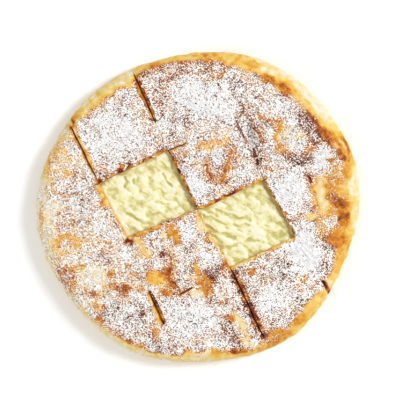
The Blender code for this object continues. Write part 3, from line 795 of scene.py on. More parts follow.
def rim_bake(x, y, angle, outward):
    """The bare rim's share at each place, and its browning and sugar."""
    width, outer_browning, inner_browning, sugar = rim_band(angle)
    width = width * (1 + layered_rim(angle, outward, BAND_WANDER))
    inward = outward - SHOULDER + width
    browning = blend(inner_browning, outer_browning, smooth(inward / (BAND_INNER * width)))
    streaks = layered_rim(angle, outward, RIM_STREAKS) + layered(x, y, RIM_CLOUDS)
    down = rise(outward, SHOULDER, SHOULDER + SIDE_BLEND)
    browning = blend(browning + streaks, SIDE_BROWNING + SIDE_STREAKS * streaks, down)
    return smooth(inward / RIM_BLEND + 0.5), browning, sugar * (1 - down)


def bake_fields(x, y, z):
    """Browning and sugar on the crust's skin."""
    flat_x, flat_y, outward = unrolled(x, y, z)
    on_rim, rim_browning, rim_sugar = rim_bake(flat_x, flat_y, np.arctan2(y, x), outward)
    browning = blend(TOP_BROWNING + layered(flat_x, flat_y, *BROWN_CLOUDS), rim_browning, on_rim)
    sugar = blend(TOP_SUGAR, rim_sugar, on_rim)
    fray = np.clip(FRAY_LEVEL - layered(x, y, FRAY), 0, 1)
    patch_x, patch_y = strayed(flat_x, flat_y, PATCH_STRAY)
    for patch in PATCHES:
        out = ellipse(patch_x, patch_y, patch)
        browning = blend(browning, patch.browning, PATCH_COVER * (1 - rise(out, *PATCH_BAKE)))
        share = (1 - rise(out, *PATCH_DUSTING)) * (fray if patch.sugar < TOP_SUGAR else 1.0)
        sugar = blend(sugar, patch.sugar, share)
    room = np.clip(DRIFT_LEVEL - sugar, 0, DRIFT_MOST) * smooth(sugar / DRIFT_START)
    sugar = sugar + layered(flat_x, flat_y, *DRIFTS) * room
    scorch = layered(x, y, SCORCH)
    bare = smooth(layered(x, y, BARE_EDGES) + BARE_EDGE_LEVEL)
    for edge, _, bake in edge_shares(x, y):
        browning = blend(browning, edge.browning + scorch, bake)
        sugar = blend(sugar, edge.sugar, bake * bare)
    for fold, core, halo in fold_shares(blend(x, patch_x, FOLD_STRAY), blend(y, patch_y, FOLD_STRAY)):
        core = np.minimum(FOLD_CORE * core, 1.0)
        browning = blend(browning, fold.browning, np.maximum(core, HALO_BROWNING * halo))
        sugar = blend(sugar, fold.sugar, np.maximum(core * fray, HALO_SUGAR * halo))
    pit = pit_share(x, y)
    browning = blend(browning, PIT_BROWNING, pit)
    sugar = np.clip(sugar * (1 - pit), 0, THICKEST)
    base = 1 - smooth(z / BASE_EDGE)
    browning = blend(browning, BASE_BROWNING, base)
    sugar = sugar * (1 - base)
    return np.clip(browning, 0, 1), sugar - BARE_GAP * (1 - smooth(sugar / BARE))


# Modelling with Blender's operators -------------------------------------------------


def start_fresh():
    """Nothing is selected, and Blender is in object mode."""
    if bpy.context.object and bpy.context.object.mode != "OBJECT":
        bpy.ops.object.mode_set(mode="OBJECT")
    bpy.ops.object.select_all(action="DESELECT")


def coordinates(piece):
    """The corners of a mesh as an array."""
    values = np.empty(len(piece.data.vertices) * 3)
    piece.data.vertices.foreach_get("co", values)
    return values.reshape(-1, 3)


def reshape(piece, x, y, z):
    """Moves a mesh's corners to places in millimetres."""
    corners = (np.stack(np.broadcast_arrays(x, y, z), axis=1) - ORIGIN) * MM
    piece.data.vertices.foreach_set("co", corners.ravel())
    piece.data.update()


def places(piece):
    """Where a mesh's corners lie on the pie, in millimetres."""
    return coordinates(piece) / MM + ORIGIN


def named(name):
    """The primitive that was just added, with its name."""
    piece = bpy.context.object
    piece.name = name
    piece.data.name = name
    return piece


def add_grid(name, across, along):
    """A flat grid from -1 to 1 each way, returned with its corners."""
    start_fresh()
    bpy.ops.mesh.primitive_grid_add(x_subdivisions=across, y_subdivisions=along, size=2)
    piece = named(name)
    return piece, coordinates(piece)


def apply_modifier(piece, kind, **settings):
    """Adds a modifier, sets it and applies it."""
    start_fresh()
    bpy.context.view_layer.objects.active = piece
    modifier = piece.modifiers.new(kind.title(), kind)
    for key, value in settings.items():
        setattr(modifier, key, value)
    bpy.ops.object.modifier_apply(modifier=modifier.name)


def select_only(piece):
    """The piece alone is selected and active."""
    start_fresh()
    piece.select_set(True)
    bpy.context.view_layer.objects.active = piece


def face_outwards(piece):
    """Turns a closed mesh's faces outwards."""
    select_only(piece)
    bpy.ops.object.mode_set(mode="EDIT")
    bpy.ops.mesh.select_all(action="SELECT")
    bpy.ops.mesh.normals_make_consistent(inside=False)
    bpy.ops.object.mode_set(mode="OBJECT")


def join_and_merge(name, parts):
    """Joins meshes into one closed one, by merging the corners that meet."""
    start_fresh()
    for part in parts:
        part.select_set(True)
    bpy.context.view_layer.objects.active = parts[0]
    bpy.ops.object.join()
    whole = named(name)
    bpy.ops.object.mode_set(mode="EDIT")
    bpy.ops.mesh.select_all(action="SELECT")
    bpy.ops.mesh.remove_doubles(threshold=MERGE_DISTANCE)
    bpy.ops.object.mode_set(mode="OBJECT")
    face_outwards(whole)
    return whole


def finish_piece(piece, node, sharp):
    """Smooths a finished piece up to a sharp angle and puts it in a node's place."""
    select_only(piece)
    bpy.ops.object.shade_smooth_by_angle(angle=sharp)
    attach(piece, BODY)
    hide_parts(node)


def paint(piece, name, values):
    """Stores a value for each corner of a mesh."""
    attribute = piece.data.attributes.new(name, "FLOAT", "POINT")
    attribute.data.foreach_set("value", np.asarray(values, np.float32))


# The crust --------------------------------------------------------------------------


def square_to_disc(u, v):
    """Carries a square's grid onto a disc, ring by ring: returns radius and angle."""
    wide = np.abs(u) > np.abs(v)
    radius = np.where(wide, u, v)
    safe = np.where(radius == 0, 1, radius)
    angle = np.where(wide, math.pi / 4 * v / safe, math.pi / 2 - math.pi / 4 * u / safe)
    angle = np.where(radius < 0, angle + math.pi, angle)
    return np.abs(radius), angle


def crust_top(layers, cells):
    """The pie's top: a grid carried onto the outline and raised into its relief."""
    piece, corners = add_grid("crust_top", cells, cells)
    radius, angle = square_to_disc(corners[:, 0], corners[:, 1])
    radius = radius * (outline_radius(angle) - SHOULDER)
    x, y = radius * np.cos(angle), radius * np.sin(angle)
    reshape(piece, x, y, top_height(x, y, layers))
    return piece


def crust_side(layers, cells, rings):
    """The rim's skin: a band that goes over the shoulder, down the side and under."""
    piece, corners = add_grid("crust_side", 4 * cells, rings)
    start = -math.pi / 4
    angle = np.where(corners[:, 0] > 1 - SEAM, start, start + math.pi * (corners[:, 0] + 1))
    share = (1 - corners[:, 1]) / 2
    inner = outline_radius(angle) - SHOULDER
    inner_x, inner_y = inner * np.cos(angle), inner * np.sin(angle)
    edge = top_height(inner_x, inner_y, layers)
    lean = math.pi / 2 * np.minimum(share / SHOULDER_SHARE, 1)
    under = math.pi / 2 * np.maximum((share - SHOULDER_SHARE) / (1 - SHOULDER_SHARE), 0)
    radius = inner + SHOULDER * np.sin(lean) - TUCK * (1 - np.cos(under))
    height = WIDEST_HEIGHT + (edge - WIDEST_HEIGHT) * np.cos(lean) - WIDEST_HEIGHT * np.sin(under)
    away = SHOULDER * lean + WIDEST_HEIGHT * under * 2 / math.pi
    flat_x, flat_y = (inner + away) * np.cos(angle), (inner + away) * np.sin(angle)
    skin = skin_relief(flat_x, flat_y) - skin_relief(inner_x, inner_y) * np.cos(lean)
    skin = skin + rim_relief(angle, away) - rim_relief(angle, 0 * away) * np.cos(lean)
    skin = skin + layered_rim(angle, height, LAMINATION) * smooth(share / LAMINATED)
    skin = skin * smooth((1 - share) / SKIN_ENDS)
    radius = radius + SIDEWAYS * skin * np.sin(lean)
    height = height + skin * np.cos(lean)
    reshape(piece, radius * np.cos(angle), radius * np.sin(angle), np.maximum(height, 0.0))
    return piece


def crust_bottom(cells):
    """The pie's flat base."""
    start_fresh()
    bpy.ops.mesh.primitive_circle_add(vertices=4 * cells, radius=1, fill_type="NGON")
    piece = named("crust_bottom")
    corners = coordinates(piece)
    angle = np.arctan2(corners[:, 1], corners[:, 0])
    radius = outline_radius(angle) - TUCK
    reshape(piece, radius * np.cos(angle), radius * np.sin(angle), 0.0)
    return piece


def hollow(layers):
    """The room for the custard, as a cutter."""
    start_fresh()
    bpy.ops.mesh.primitive_cylinder_add(vertices=HOLLOW_SIDES, radius=1, depth=2)
    piece = named("hollow")
    corners = coordinates(piece)
    angle = np.arctan2(corners[:, 1], corners[:, 0])
    radius = outline_radius(angle) - RIM_WALL
    low, high = layers.base_crust / MM, (layers.base_crust + layers.custard) / MM
    height = np.where(corners[:, 2] > 0, high, low)
    reshape(piece, radius * np.cos(angle), radius * np.sin(angle), height)
    return piece


def blade(name, steps, rows):
    """A thin knife blade that follows one cut across the pie."""
    piece, corners = add_grid("blade_" + name, steps, rows)
    apply_modifier(piece, "SOLIDIFY", thickness=1.0, offset=0.0)
    corners = coordinates(piece)
    place = corners[:, 0] * CUT_END
    height = BLADE_MIDDLE + corners[:, 1] * BLADE_REACH
    walls = [wall_at(name, side, place, height) for side in (1, -1)]
    across = np.where(corners[:, 2] > 0, *walls)
    p, q = (across, place) if name in ACROSS else (place, across)
    x, y = turned(p, q, -GRID_TURN)
    reshape(piece, x, y, height)
    return piece


def cell_of(x, y):
    """The grid cell, such as a1, that a place lies in."""
    p, q = turned(x, y, GRID_TURN)
    column = sum(int(p > cut_at(name, q)[0]) for name in ACROSS)
    row = sum(int(q < cut_at(name, p)[0]) for name in ALONG)
    return ROWS[row] + COLUMNS[column]


def node_of(piece, layers):
    """The CAD node that a cut piece of crust stands for, or None for a window's lid."""
    corners = places(piece)
    low, high = corners.min(axis=0), corners.max(axis=0)
    middle = (low + high) / 2
    cell = cell_of(middle[0], middle[1])
    if cell[0] not in "bc" or cell[1] not in "23":
        return "crust_" + cell
    if middle[2] < (layers.base_crust + layers.custard / 2) / MM:
        return "base_" + cell
    return None if cell in WINDOWS else "top_" + cell


# Custard and sugar -------------------------------------------------------------------


def window_place(cell, u, v):
    """A place in a window cell, with u and v from 0 to 1 between its walls."""
    row, column = ROWS.index(cell[0]), COLUMNS.index(cell[1])
    left, right = ACROSS[column - 1], ACROSS[column]
    far, near = ALONG[row - 1], ALONG[row]
    q = np.zeros(len(u))
    level = CUSTARD_LEVEL[cell]
    for _ in range(SETTLE_STEPS):
        low, high = wall_at(left, -1, q, level), wall_at(right, 1, q, level)
        p = low + u * (high - low)
        low, high = wall_at(near, -1, p, level), wall_at(far, 1, p, level)
        q = low + v * (high - low)
    return turned(p, q, -GRID_TURN)


def near_walls(shares, reach, u, v):
    """How near a place in a window is to its walls, with each wall's own share."""
    return sum(share * (1 - smooth(away / reach)) for share, away in zip(shares, (u, 1 - u, v, 1 - v)))


def custard_height(cell, x, y):
    """The lumpy surface of the custard in a window."""
    strayed_x, strayed_y = strayed(x, y, CURD_STRAY)
    total = np.full(np.shape(x), 1.0)
    for curds in CURDS[cell]:
        random = np.random.default_rng(curds.seed)
        for _ in range(curds.count):
            cx, cy = random.uniform(x.min(), x.max()), random.uniform(y.min(), y.max())
            size = random.uniform(*CURD_SIZES)
            turn = curds.turn + random.uniform(-CURD_TURNS, CURD_TURNS)
            curd = Curd(cx, cy, size * curds.half_length, size * curds.half_width, turn)
            outward = ellipse(strayed_x, strayed_y, curd)
            dome = CURD_RISE * size * curds.height * np.exp(-CURD_FALL * outward ** 2)
            total = total + np.exp(dome / CURD_SOFTNESS) - 1
    along, across = turned(strayed_x, strayed_y, SPOON_TURN)
    waves = layered(along / CUSTARD_STRETCH, across, *CUSTARD_WAVES)
    height = CUSTARD_LEVEL[cell] + waves + CURD_SOFTNESS * np.log(total)
    for mark in SPOON_MARKS:
        if mark.window == cell:
            away = line_distance(strayed_x, strayed_y, mark.run) / mark.half_width
            height = height + mark.height * (1 - smooth(away))
    return height


def hollow_shading(height, cells):
    """Painted shade and highlight: how much darker each place of a square grid is where it lies lower
    than those around it, and lighter where higher.
    """
    height = height.reshape(cells + 1, cells + 1)
    shading = 0.0
    for per_width, tone in HOLLOW_SHADING:
        shifts = cells // per_width * np.arange(-2, 3)
        around = sum(np.roll(height, (i, j), (0, 1)) for i in shifts for j in shifts) / len(shifts) ** 2
        shading = shading + tone * (around - height)
    return shading.ravel()


def sugar_places(random, count):
    """Places on the top where clumps of sugar came to lie: more of them in thick sugar."""
    angle = random.uniform(0, 2 * math.pi, SUGAR_THROWS * count)
    radius = (outline_radius(angle) - SHOULDER) * np.sqrt(random.uniform(0, 1, len(angle)))
    x, y = radius * np.cos(angle), radius * np.sin(angle)
    sugar = bake_fields(x, y, np.full(len(x), WALL_TOP))[1]
    lies = random.uniform(0, 1, len(x)) < rise(sugar, *SUGAR_HOLDS)
    p, q = turned(x, y, GRID_TURN)
    column, row = np.zeros(len(x), int), np.zeros(len(x), int)
    for name in ACROSS + ALONG:
        along, across = (q, p) if name in ACROSS else (p, q)
        middle, width = cut_at(name, along)
        lies &= np.abs(across - middle) > width / 2 + SUGAR_CLEARANCE
        if name in ACROSS:
            column += across > middle
        else:
            row += across < middle
    for cell in WINDOWS:
        lies &= (row != ROWS.index(cell[0])) | (column != COLUMNS.index(cell[1]))
    kept = np.flatnonzero(lies)[:count]
    return x[kept], y[kept]


# Finishes ----------------------------------------------------------------------------

# The colour sockets of a Mix node.
MIX_SHARE, MIX_ONE, MIX_OTHER, MIX_RESULT = 0, 6, 7, 2


class Value:
    """A number that changes over a surface. Arithmetic on it adds Math nodes."""

    def __init__(self, finish, socket):
        self.finish = finish
        self.socket = socket

    def math(self, operation, *operands):
        """The result of a Math node."""
        return self.finish.node("ShaderNodeMath", {"operation": operation}, dict(enumerate(operands)))

    def __add__(self, other):
        return self.math("ADD", self, other)

    def __sub__(self, other):
        return self.math("SUBTRACT", self, other)

    def __rsub__(self, other):
        return self.math("SUBTRACT", other, self)

    def __mul__(self, other):
        return self.math("MULTIPLY", self, other)

    __radd__ = __add__
    __rmul__ = __mul__

    def clipped(self):
        """The value, kept between 0 and 1."""
        return self.math("MINIMUM", self.math("MAXIMUM", self, 0.0), 1.0)

    def between(self, none, full):
        """How far the value has come from none to full, as a share."""
        return ((self - none) * (1 / (full - none))).clipped()


class Finish:
    """A material that is built from nodes."""

    def __init__(self, name):
        self.material = bpy.data.materials.new(name)
        self.material.use_nodes = True
        self.tree = self.material.node_tree
        self.surface = self.tree.nodes["Principled BSDF"]

    def node(self, kind, settings, inputs, output=0):
        """Adds a node: its settings first, then values or links for its sockets."""
        made = self.tree.nodes.new(kind)
        for key, value in settings.items():
            if key == "stops":
                self.set_stops(made.color_ramp, value)
            else:
                setattr(made, key, value)
        for key, value in inputs.items():
            self.connect(value, made.inputs[key])
        return Value(self, made.outputs[output])

    def connect(self, value, socket):
        """Links a value to a socket, or sets a number or colour there."""
        if isinstance(value, Value):
            self.tree.links.new(value.socket, socket)
        else:
            socket.default_value = value

    def set_stops(self, ramp, stops):
        """Puts a ramp's colours at their places."""
        while len(ramp.elements) < len(stops):
            ramp.elements.new(1.0)
        for element, (place, colour) in zip(ramp.elements, stops):
            element.position = place
            element.color = (*colour, 1.0)

    def place(self):
        """The place on the object."""
        return self.node("ShaderNodeTexCoord", {}, {}, "Object")

    def attribute(self, name):
        """The value that is stored at the mesh's corners under a name."""
        return self.node("ShaderNodeAttribute", {"attribute_name": name}, {}, "Fac")

    def noise(self, pattern):
        """Noise from 0 to 1 with a pattern's bumps, stretched along turned axes."""
        scale = [pattern.spacing * share for share in pattern.stretch]
        inputs = {"Vector": self.place(), "Scale": scale, "Rotation": (0, 0, pattern.turn)}
        mapped = self.node("ShaderNodeMapping", {"vector_type": "TEXTURE"}, inputs)
        inputs = {"Detail": pattern.detail, "Roughness": pattern.roughness}
        return self.node("ShaderNodeTexNoise", {}, {"Vector": mapped, "Scale": 1.0, **inputs}, "Fac")

    def waver(self, pattern):
        """The same noise round 0, as strong as its pattern says."""
        return (self.noise(pattern) - 0.5) * pattern.strength

    def mix(self, share, one, other):
        """A colour between two colours."""
        inputs = {MIX_SHARE: share, MIX_ONE: rgba(one), MIX_OTHER: rgba(other)}
        return self.node("ShaderNodeMix", {"data_type": "RGBA"}, inputs, MIX_RESULT)

    def ramp(self, value, stops):
        """The colour that a value has between stops."""
        return self.node("ShaderNodeValToRGB", {"stops": stops}, {"Fac": value}, "Color")

    def bump(self, height, distance, strength):
        """A normal that shows a fine relief."""
        inputs = {"Height": height, "Distance": distance, "Strength": strength}
        return self.node("ShaderNodeBump", {}, inputs, "Normal")

    def set(self, **values):
        """Sets or links the surface's own sockets."""
        for key, value in values.items():
            self.connect(value, self.surface.inputs[key.replace("_", " ")])


def rgba(colour):
    """A plain colour with its alpha, or a link left as it is."""
    return colour if isinstance(colour, Value) else (*colour, 1.0)


def sugar_cover(finish, sugar, grain):
    """How much of the surface powdered sugar covers, broken up into grains and drifts."""
    contrast = GRAIN_CONTRAST - sugar.between(*DRIFT_DEEP) * (GRAIN_CONTRAST - DEEP_CONTRAST)
    cover = (sugar - HALF_COVERED) * COVER_CONTRAST + COVER_LIFT
    cover = cover + finish.waver(SUGAR_GRAIN._replace(spacing=grain)) * contrast
    for pattern in SUGAR_COVER:
        cover = cover + finish.waver(pattern._replace(spacing=grain * pattern.spacing))
    return cover.clipped() * (THIN_COVER + (1 - THIN_COVER) * sugar.between(*COVER_THICKENS))


def crust_finish(colours, grain):
    """Baked skin from cream to burnt, under broken powdered sugar."""
    finish = Finish("baked_crust")
    browning, sugar = finish.attribute("browning"), finish.attribute("sugar")
    # Painted shade of the sugar's grains: dark specks in the crust where sugar lies.
    grain_shade = finish.noise(GRAIN_SHADE_SPECKS).between(*GRAIN_SHADE_OF_NOISE) * sugar.between(*GRAIN_SHADE_COMES)
    tone = browning + finish.waver(CRUST_MOTTLE) + finish.waver(CRUST_FRECKLES) * browning
    bake = (colours.cream, colours.straw, colours.golden, colours.amber, colours.chestnut, colours.burnt)
    stops = [(step / (len(bake) - 1), colour) for step, colour in enumerate(bake)]
    under = finish.ramp(tone + grain_shade * GRAIN_SHADE_SPECKS.strength, stops)
    # Painted shade between the sugar's grains: crust darkens between thin grains, and the gaps in thick
    # sugar turn to grey shadow.
    under = finish.mix(sugar.between(*CRUST_SHADED) * CRUST_SHADE, under, colours.shaded_crust)
    under = finish.mix(sugar.between(*PORE_SHADOW_COMES) * PORE_SHADE, under, colours.pore_shadow)
    lumps = finish.noise(SUGAR_LUMPS).between(*LUMPS_OF_NOISE)
    white = finish.mix(lumps, colours.sugar_shade, colours.sugar)
    white = finish.mix(sugar.between(*WHITE_COMES), colours.thin_sugar, white)
    marks = finish.noise(SUGAR_MARKS).between(*MARKS_OF_NOISE) * sugar.between(*DRIFT_DEEP)
    white = finish.mix(marks * SUGAR_MARKS.strength, white, colours.sugar_mark)
    cover = sugar_cover(finish, sugar, grain)
    rough = finish.bump(finish.noise(CRUST_FLAKES) * CRUST_FLAKES.strength + cover, 0.00035, 0.8)
    finish.set(Base_Color=finish.mix(cover, under, white), Roughness=0.45 + cover * 0.45)
    finish.set(Normal=rough, Specular_IOR_Level=0.12)
    return finish.material


def crumb_finish(colours):
    """The cut walls: thin layers of dough, darker towards the skin."""
    finish = Finish("cut_crumb")
    layers = finish.waver(CRUMB_LAYERS) + finish.waver(CRUMB_PORES)
    tone = finish.attribute("browning") * CRUMB_BROWNING + layers + CRUMB_TONE
    stops = (
        (0.0, colours.straw),
        (0.35, colours.golden),
        (0.7, colours.amber),
        (1.0, colours.chestnut),
    )
    finish.set(Base_Color=finish.ramp(tone, stops), Roughness=0.7, Specular_IOR_Level=0.3)
    finish.set(Normal=finish.bump(layers, 0.0012, 0.9))
    return finish.material


def custard_finish(colours):
    """Pale set custard: glossy, with olive painted as shade in its creases and pale crests painted as
    highlights.
    """
    finish = Finish("set_custard")
    patterns = (CUSTARD_CLOUDS, CUSTARD_STREAKS, CUSTARD_GRAIN)
    # The crease attribute is painted shade in hollows and beside walls, painted highlight on crests, and
    # a tint along some walls.
    tone = sum((finish.waver(pattern) for pattern in patterns), finish.attribute("crease"))
    stops = ((0.1, colours.pale_custard_and_highlight), (0.42, colours.custard), (1.0, colours.olive_custard_and_shade))
    finish.set(Base_Color=finish.ramp(tone.clipped(), stops), Roughness=0.32)
    finish.set(Normal=finish.bump(finish.noise(CUSTARD_DIMPLES), 0.0005, 0.6), Specular_IOR_Level=0.45)
    finish.set(Subsurface_Weight=0.2, Subsurface_Radius=(0.005, 0.004, 0.002), Subsurface_Scale=1.0)
    return finish.material


def sugar_finish(colours):
    """Clumps of powdered sugar."""
    finish = Finish("powdered_sugar")
    stops = ((0.3, colours.sugar_shade), (0.6, colours.sugar))
    shade = finish.ramp(finish.noise(CLUMP_SHADE), stops)
    finish.set(Base_Color=shade, Roughness=0.9, Specular_IOR_Level=0.2)
    return finish.material


# Properties -------------------------------------------------------------------------


def length(name, description, value):
    """A length property, in metres."""
    return FloatProperty(name=name, description=description, default=value, unit="LENGTH", precision=5)


def power(name, description, value):
    """A lamp's power, in watts."""
    return FloatProperty(name=name, description=description, default=value, unit="POWER")


def colour(name, description, value):
    """A colour property."""
    return FloatVectorProperty(
        name=name, description=description, default=value, subtype="COLOR", size=3, min=0, max=1
    )


class FeteerLayers(bpy.types.PropertyGroup):
    """Thicknesses of the pie's layers, and how finely they are modelled."""

    base_crust: length("Base crust", "Thickness of the base crust", 0.008)
    custard: length("Custard", "Thickness of the custard layer", 0.012)
    top_crust: length("Top crust", "Thickness of the top crust", 0.0076)
    cells: IntProperty(
        name="Top cells", description="Faces across the top, each way", default=400, min=40, max=600
    )


class FeteerColours(bpy.types.PropertyGroup):
    """Colours of crust, sugar and custard, as linear values."""

    cream: colour("Cream", "Dough that has hardly browned", (0.80, 0.725, 0.57))
    straw: colour("Straw", "Dough that has begun to colour", (0.78, 0.60, 0.20))
    golden: colour("Golden", "Golden crust", (0.78, 0.45, 0.065))
    amber: colour("Amber", "Well baked crust", (0.60, 0.215, 0.02))
    chestnut: colour("Chestnut", "Dark crust", (0.25, 0.045, 0.014))
    burnt: colour("Burnt", "The darkest spots", (0.065, 0.013, 0.012))
    shaded_crust: colour("Shaded crust", "Crust between grains of thin sugar", (0.12, 0.035, 0.015))
    # Painted shadow in the gaps between grains of thick sugar.
    pore_shadow: colour("Pores", "The gaps between grains of thick sugar", (0.055, 0.042, 0.04))
    sugar: colour("Sugar", "Powdered sugar", (0.96, 0.95, 0.94))
    sugar_shade: colour("Sugar shade", "Sugar between its clumps", (0.84, 0.815, 0.79))
    sugar_mark: colour("Sugar mark", "Fine marks in the deep drifts of sugar", (0.54, 0.535, 0.54))
    thin_sugar: colour("Thin sugar", "Sugar that the crust shines through", (0.97, 0.895, 0.785))
    # The pale end is also painted highlight on crests, and the olive end painted shade in hollows and by
    # the walls.
    pale_custard_and_highlight: colour("Light custard", "The crests of the custard", (0.87, 0.825, 0.615))
    custard: colour("Custard", "Most of the custard", (0.80, 0.745, 0.385))
    olive_custard_and_shade: colour("Custard crease", "Hollows of the custard", (0.53, 0.47, 0.14))


class FeteerDusting(bpy.types.PropertyGroup):
    """The powdered sugar."""

    grain: length("Grain", "Spacing of the sugar's specks", 0.00115)
    clumps: IntProperty(name="Clumps", description="How many clumps lie on top", default=8000, min=0)
    clump_size: length("Clump size", "Radius of a large clump", 0.0006)


class FeteerStage(bpy.types.PropertyGroup):
    """Floor and lights."""

    floor: colour("Floor", "Colour of the floor", (0.97, 0.97, 0.97))
    key: power("Key light", "Power of the main light", 109)
    fill: power("Fill light", "Power of the light opposite", 34)
    sky: FloatProperty(name="Sky", description="Strength of the light all round", default=0.64)


# Operators --------------------------------------------------------------------------


class FEETER_OT_bake(bpy.types.Operator):
    """Bake the crust and cut it into slices"""

    bl_idname = "feteer.bake"
    bl_label = "Bake and Cut Crust"

    def execute(self, context):
        layers = context.scene.feteer_layers
        colours = context.scene.feteer_colours
        cells = layers.cells
        parts = [crust_top(layers, cells), crust_side(layers, cells, cells // 10), crust_bottom(cells)]
        pie = join_and_merge("pie", parts)
        pie.data.materials.clear()
        pie.data.materials.append(crust_finish(colours, context.scene.feteer_dusting.grain))
        crumb = crumb_finish(colours)
        along, up = BLADE_CELLS
        for cutter in [hollow(layers)] + [blade(name, along, up) for name in ACROSS + ALONG]:
            cutter.data.materials.append(crumb)
            face_outwards(cutter)
            settings = {"operation": "DIFFERENCE", "solver": "MANIFOLD", "material_mode": "TRANSFER"}
            apply_modifier(pie, "BOOLEAN", object=cutter, **settings)
            bpy.data.objects.remove(cutter)
        select_only(pie)
        bpy.ops.mesh.separate(type="LOOSE")
        for piece in list(context.selected_objects):
            self.place(piece, layers)
        return {"FINISHED"}

    def place(self, piece, layers):
        """Names a cut piece for its node, paints its bake and puts it in the frame."""
        node = node_of(piece, layers)
        if len(piece.data.vertices) < CRUMB_CORNERS or node is None:
            bpy.data.objects.remove(piece)
            return
        piece.name = "baked_" + node
        piece.data.name = piece.name
        x, y, z = places(piece).T
        browning, sugar = bake_fields(x, y, z)
        paint(piece, "browning", browning)
        paint(piece, "sugar", sugar)
        finish_piece(piece, node, SHARP_CRUST)


class FEETER_OT_fill(bpy.types.Operator):
    """Spoon custard into the windows, and colour the custard inside the slices"""

    bl_idname = "feteer.fill"
    bl_label = "Fill With Custard"

    def execute(self, context):
        layers = context.scene.feteer_layers
        finish = custard_finish(context.scene.feteer_colours)
        for name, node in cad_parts.items():
            if name.startswith("custard_") and name[-2:] not in WINDOWS:
                node.data.materials.clear()
                node.data.materials.append(finish)
        for cell in WINDOWS:
            self.spoon(cell, layers, finish)
        return {"FINISHED"}

    def spoon(self, cell, layers, finish):
        """The custard of one window, from its lumpy top to the base crust."""
        cells = WINDOW_CELLS
        piece, corners = add_grid("spooned_custard_" + cell, cells, cells)
        u, v = (corners[:, 0] + 1) / 2, (corners[:, 1] + 1) / 2
        x, y = window_place(cell, u, v)
        shade = near_walls(SUNK_AND_SHADED_WALLS[cell], SUNK_AND_SHADED_EDGE, u, v)
        height = custard_height(cell, x, y) - WALL_DIP * shade
        reshape(piece, x, y, height)
        # Painted shade and highlight: darker beside the walls and in hollows, lighter on crests; and a
        # tint along some walls.
        tone = LEVEL_TONE + WALL_SHADE_TONE * shade + hollow_shading(height, cells)
        tone = tone + near_walls(TINTED_AND_SHADED_WALLS[cell], TINTED_AND_SHADED_EDGE, u, v)
        paint(piece, "crease", np.clip(tone, 0, 1))
        select_only(piece)
        bpy.ops.object.mode_set(mode="EDIT")
        bpy.ops.mesh.select_all(action="SELECT")
        bpy.ops.mesh.region_to_loop()
        bpy.ops.mesh.extrude_region_move()
        bpy.ops.transform.resize(value=(1, 1, 0))
        bpy.ops.mesh.edge_face_add()
        bpy.ops.object.mode_set(mode="OBJECT")
        corners = coordinates(piece)
        corners[len(u):, 2] = layers.base_crust + CUSTARD_LIFT * MM
        piece.data.vertices.foreach_set("co", corners.ravel())
        face_outwards(piece)
        piece.data.materials.append(finish)
        finish_piece(piece, "custard_" + cell, SHARP_CUSTARD)


class FEETER_OT_dust(bpy.types.Operator):
    """Scatter clumps of powdered sugar on the top"""

    bl_idname = "feteer.dust"
    bl_label = "Dust With Sugar"

    def execute(self, context):
        dusting = context.scene.feteer_dusting
        random = np.random.default_rng(SUGAR_SEED)
        x, y = sugar_places(random, dusting.clumps)
        start_fresh()
        bpy.ops.mesh.primitive_ico_sphere_add(subdivisions=1, radius=1)
        piece = named("sugar_clumps")
        bpy.ops.object.mode_set(mode="EDIT")
        bpy.ops.mesh.select_all(action="SELECT")
        bpy.ops.transform.vertex_random(offset=0.3, uniform=0.8, normal=0.2, seed=SUGAR_SEED)
        bpy.ops.transform.resize(value=(1, 0.8, 0.6))
        bpy.ops.object.mode_set(mode="OBJECT")
        lump = coordinates(piece)
        apply_modifier(piece, "ARRAY", count=len(x))
        turn = random.uniform(0, 2 * math.pi, (len(x), 1))
        size = dusting.clump_size / MM * random.uniform(*CLUMP_SIZES, (len(x), 1))
        lump_x, lump_y = turned(lump[:, 0], lump[:, 1], turn)
        top = top_height(x, y, context.scene.feteer_layers)
        lumps = (size * lump_x, size * lump_y, size * (lump[:, 2] + CLUMP_LIFT))
        reshape(piece, *((at[:, None] + lump).ravel() for at, lump in zip((x, y, top), lumps)))
        piece.data.materials.append(sugar_finish(context.scene.feteer_colours))
        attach(piece, BODY)
        return {"FINISHED"}


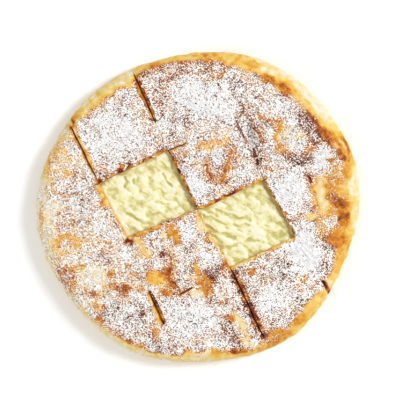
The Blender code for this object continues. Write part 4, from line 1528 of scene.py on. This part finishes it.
class FEETER_OT_stage(bpy.types.Operator):
    """Set the floor, the lights and the camera"""

    bl_idname = "feteer.stage"
    bl_label = "Set the Stage"

    def execute(self, context):
        stage = context.scene.feteer_stage
        start_fresh()
        bpy.ops.mesh.primitive_plane_add(size=FLOOR_SIZE, location=(0, 0, 0))
        floor = named("floor")
        finish = Finish("floor")
        finish.set(Base_Color=(*stage.floor, 1), Roughness=0.9, Specular_IOR_Level=0.1)
        floor.data.materials.append(finish.material)
        self.light("key", KEY_PLACE, KEY_SIZE, stage.key)
        self.light("fill", FILL_PLACE, FILL_SIZE, stage.fill)
        world = bpy.data.worlds.new("sky")
        context.scene.world = world
        world.use_nodes = True
        background = world.node_tree.nodes["Background"]
        background.inputs["Color"].default_value = (1, 1, 1, 1)
        background.inputs["Strength"].default_value = stage.sky
        self.camera(context)
        context.scene.view_settings.view_transform = "Standard"
        return {"FINISHED"}

    def light(self, name, place, size, power):
        """A square soft light that faces the pie."""
        bpy.ops.object.light_add(type="AREA", location=place)
        lamp = bpy.context.object
        lamp.name = name
        lamp.rotation_euler = (-Vector(place)).to_track_quat("-Z", "Y").to_euler()
        lamp.data.size = size
        lamp.data.energy = power

    def camera(self, context):
        """A camera straight above, so that the pie lies where it does in the picture."""
        x = (PICTURE_CENTRE[0] - PIE_CENTRE[0]) * PIXEL - ORIGIN[0] * MM
        y = (PIE_CENTRE[1] - PICTURE_CENTRE[1]) * PIXEL - ORIGIN[1] * MM
        bpy.ops.object.camera_add(location=(x, y, CAMERA_HEIGHT), rotation=(0, 0, 0))
        camera = bpy.context.object
        camera.name = "camera"
        distance = CAMERA_HEIGHT - WIDEST_HEIGHT * MM
        camera.data.lens = camera.data.sensor_width * distance / (PICTURE_PIXELS * PIXEL)
        context.scene.camera = camera


class FEETER_PT_panel(bpy.types.Panel):
    """Lists the steps and the values that they use"""

    bl_idname = "FEETER_PT_panel"
    bl_label = "Custard Feteer"
    bl_space_type = "VIEW_3D"
    bl_region_type = "UI"
    bl_category = "Feteer"

    def draw(self, context):
        for operator in OPERATORS:
            self.layout.operator(operator.bl_idname)
        for name in GROUPS:
            group = getattr(context.scene, name)
            box = self.layout.box()
            for key in group.bl_rna.properties.keys():
                if key not in {"rna_type", "name"}:
                    box.prop(group, key)


GROUPS = {
    "feteer_layers": FeteerLayers,
    "feteer_colours": FeteerColours,
    "feteer_dusting": FeteerDusting,
    "feteer_stage": FeteerStage,
}
OPERATORS = (FEETER_OT_bake, FEETER_OT_fill, FEETER_OT_dust, FEETER_OT_stage)


def register():
    for kind in (*GROUPS.values(), *OPERATORS, FEETER_PT_panel):
        bpy.utils.register_class(kind)
    for name, kind in GROUPS.items():
        setattr(bpy.types.Scene, name, PointerProperty(type=kind))


def unregister():
    for name in GROUPS:
        delattr(bpy.types.Scene, name)
    for kind in (FEETER_PT_panel, *OPERATORS, *GROUPS.values()):
        bpy.utils.unregister_class(kind)


def main():
    register()
    bpy.ops.feteer.bake()
    bpy.ops.feteer.fill()
    bpy.ops.feteer.dust()
    bpy.ops.feteer.stage()


if __name__ == "__main__":
    main()
